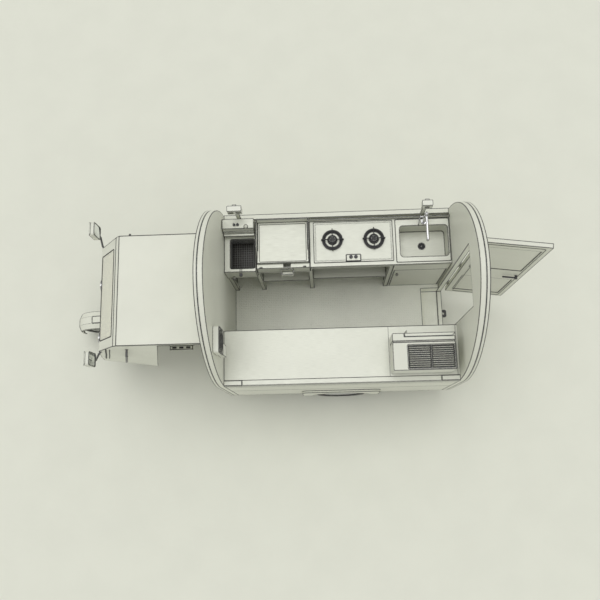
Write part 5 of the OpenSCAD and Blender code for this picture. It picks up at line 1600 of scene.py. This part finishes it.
    def burner_rings(self) -> None:
        """The bright flame rings on each burner and its cap, and the dark drip ring round it."""
        bench = self.bench
        rings, drips = [], []
        for x in self.burner_along:
            for inner, outer, foot in self.flame_rings:
                ring = [(inner, 0), (outer, 0), (outer, 1.6), ((inner + outer) / 2, 2.4), (inner, 1.6)]
                rings.append(bench.spun(ring, (x, self.burner_across, foot), (0, 0, 1), 40))
            drips.append(bench.spun(self.drip_ring, (x, self.burner_across, self.drip_foot), (0, 0, 1), 48))
        bench.finish(bench.join(rings), "burner_flame_rings", "vehicle", STEEL)
        bench.finish(bench.join(drips), "burner_drip_rings", "vehicle", IRON)

    def oven_window(self) -> None:
        """The dark glass in the bench oven's door."""
        low, high = Spot.box("microwave_door")
        start = (high.x - 60, high.y + 80, (low.z + high.z) / 2)
        face = Spot.hit(self.nodes["microwave_door"], start, (0, -1, 0))[1]
        pane = self.bench.slab((low.x + 60, face - 1.5, low.z + 34), (high.x - 34, face + 1.2, high.z - 34),
                               0.8)
        self.bench.finish(pane, "oven_door_glass", "oven_door", OVEN)

    def feet(self) -> None:
        """A dark adjusting foot round each counter leg."""
        bench = self.bench
        spots = [(x + 20, y + 20) for along, across in self.leg_rows for x in along for y in across]
        feet = [bench.slab((x - 22, y - 22, self.floor_level), (x + 22, y + 22, 512), 1.5) for x, y in spots]
        bench.finish(bench.join(feet), "leg_feet", "vehicle", RUBBER)

    def fan_guard(self) -> None:
        """The dark wire guard in front of the extractor fan."""
        bench = self.bench
        low, high = Spot.box("extractor_fan")
        y, z = (low.y + high.y) / 2, (low.z + high.z) / 2
        face = Spot.box("extractor_housing")[1].x + 1.5
        half = self.guard_half
        wires = [bench.ring_outline((y - half, z - half), (y + half, z + half), 18,
                                    lambda u, v: (face, u, v), 4)]
        for radius in self.guard_rings:
            ring = []
            for i in range(36):
                a = math.tau * i / 36
                ring.append((face, y + radius * math.cos(a), z + radius * math.sin(a)))
            wires.append(bench.tube(ring, 1.8, closed=True, smooth=False))
        for i in range(4):
            a = math.pi * (i + 0.5) / 4
            reach = half / max(abs(math.cos(a)), abs(math.sin(a)))
            dy, dz = reach * math.cos(a), reach * math.sin(a)
            wires.append(bench.tube([(face, y - dy, z - dz), (face, y + dy, z + dz)], 2.4, smooth=False))
        bench.finish(bench.join(wires), "fan_guard", "vehicle", WIRE)

    def contacts(self) -> None:
        """The dark inner face of each socket."""
        discs = [self.bench.spun([(0, 0), (19, 0), (19, 1.2), (0, 1.2)], (x, 714, z), (0, -1, 0), 28)
                 for x, z in self.sockets]
        self.bench.finish(self.bench.join(discs), "socket_inserts", "vehicle", DARK)

    def build(self) -> None:
        """Makes all the kitchen's fittings."""
        self.basket()
        self.oil()
        self.knob_marks()
        self.grilles()
        self.drain()
        self.seals()
        self.burner_rings()
        self.oven_window()
        self.feet()
        self.fan_guard()
        self.contacts()


@dataclass
class Studio:
    """Camera, floor and light."""

    paints: Paints
    eye: Point = (925, -1367, 7591)
    turn_x: float = -12.05
    turn_y: float = 2.08
    turn_z: float = -1.31
    focal: float = 700.0
    frame_size: float = 600.0
    ground: float = 40.0
    sun: float = 1.0
    sky: float = 0.72
    sun_spread: float = 40
    sun_tilt: tuple[float, float] = (-9, -4)
    sky_colour: Colour = (1, 1, 0.985)

    def camera(self) -> None:
        """Sets the camera at the drawing's viewpoint."""
        data = bpy.data.cameras.new("viewpoint")
        camera = bpy.data.objects.new("viewpoint", data)
        bpy.context.collection.objects.link(camera)
        data.sensor_width = 36.0
        data.lens = 36.0 * self.focal / self.frame_size
        flip = Matrix(((1, 0, 0), (0, -1, 0), (0, 0, -1)))
        rx = Matrix.Rotation(math.radians(self.turn_x), 3, "X")
        ry = Matrix.Rotation(math.radians(self.turn_y), 3, "Y")
        rz = Matrix.Rotation(math.radians(self.turn_z), 3, "Z")
        world_to_camera = rz @ rx @ ry @ flip
        rotation = (flip @ world_to_camera).transposed()
        camera.matrix_world = Matrix.Translation(Spot.at(*self.eye)) @ rotation.to_4x4()
        data.clip_end = 200
        bpy.context.scene.camera = camera

    def stage(self) -> None:
        """Lays the pale floor."""
        bpy.ops.object.select_all(action="DESELECT")
        bpy.ops.mesh.primitive_plane_add(size=self.ground, location=(0, 0, -0.0005))
        floor = bpy.context.object
        floor.name = "ground"
        floor.data.materials.append(self.paints.material(PAPER))

    def light(self) -> None:
        """A broad soft sun and an even sky."""
        lamp = bpy.data.lights.new("key", "SUN")
        lamp.energy = self.sun
        lamp.angle = math.radians(self.sun_spread)
        key = bpy.data.objects.new("key", lamp)
        key.rotation_euler = (*(math.radians(tilt) for tilt in self.sun_tilt), 0)
        bpy.context.collection.objects.link(key)
        world = bpy.data.worlds.new("sky")
        world.use_nodes = True
        back = world.node_tree.nodes["Background"]
        back.inputs[0].default_value = (*self.sky_colour, 1)
        back.inputs[1].default_value = self.sky
        bpy.context.scene.world = world

    def build(self) -> None:
        """Makes the camera, floor and light."""
        self.camera()
        self.stage()
        self.light()
        bpy.context.scene.view_settings.view_transform = "Standard"


def paint_nodes(frame: dict, paints: Paints) -> None:
    """Gives every CAD node its finish.

    Args:
        paints: the materials.
    """
    for name, obj in frame["nodes"].items():
        finish = NODE_FINISH.get(name, DARK)
        for slot in obj.material_slots:
            slot.material = paints.material(finish)
        LOG.info("%s dressed in %s", name, finish.name)


def main() -> None:
    """Loads the frame, builds every sub-assembly and notes the sizes."""
    logging.basicConfig(level=logging.INFO, format="%(name)s: %(message)s")
    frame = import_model()
    Spot.settle()
    paints = Paints()
    bench = Bench(paints)
    Studio(paints).build()
    paint_nodes(frame, paints)
    for assembly in (SeatSet(bench), RollingGear(bench), CabTrim(bench, frame["nodes"]), BodyTrim(bench),
                     KitchenTrim(bench, frame["nodes"])):
        LOG.info("building %s", type(assembly).__name__)
        assembly.build()
    LOG.info("%d pieces made", bench.count)


if __name__ == "__main__":
    main()
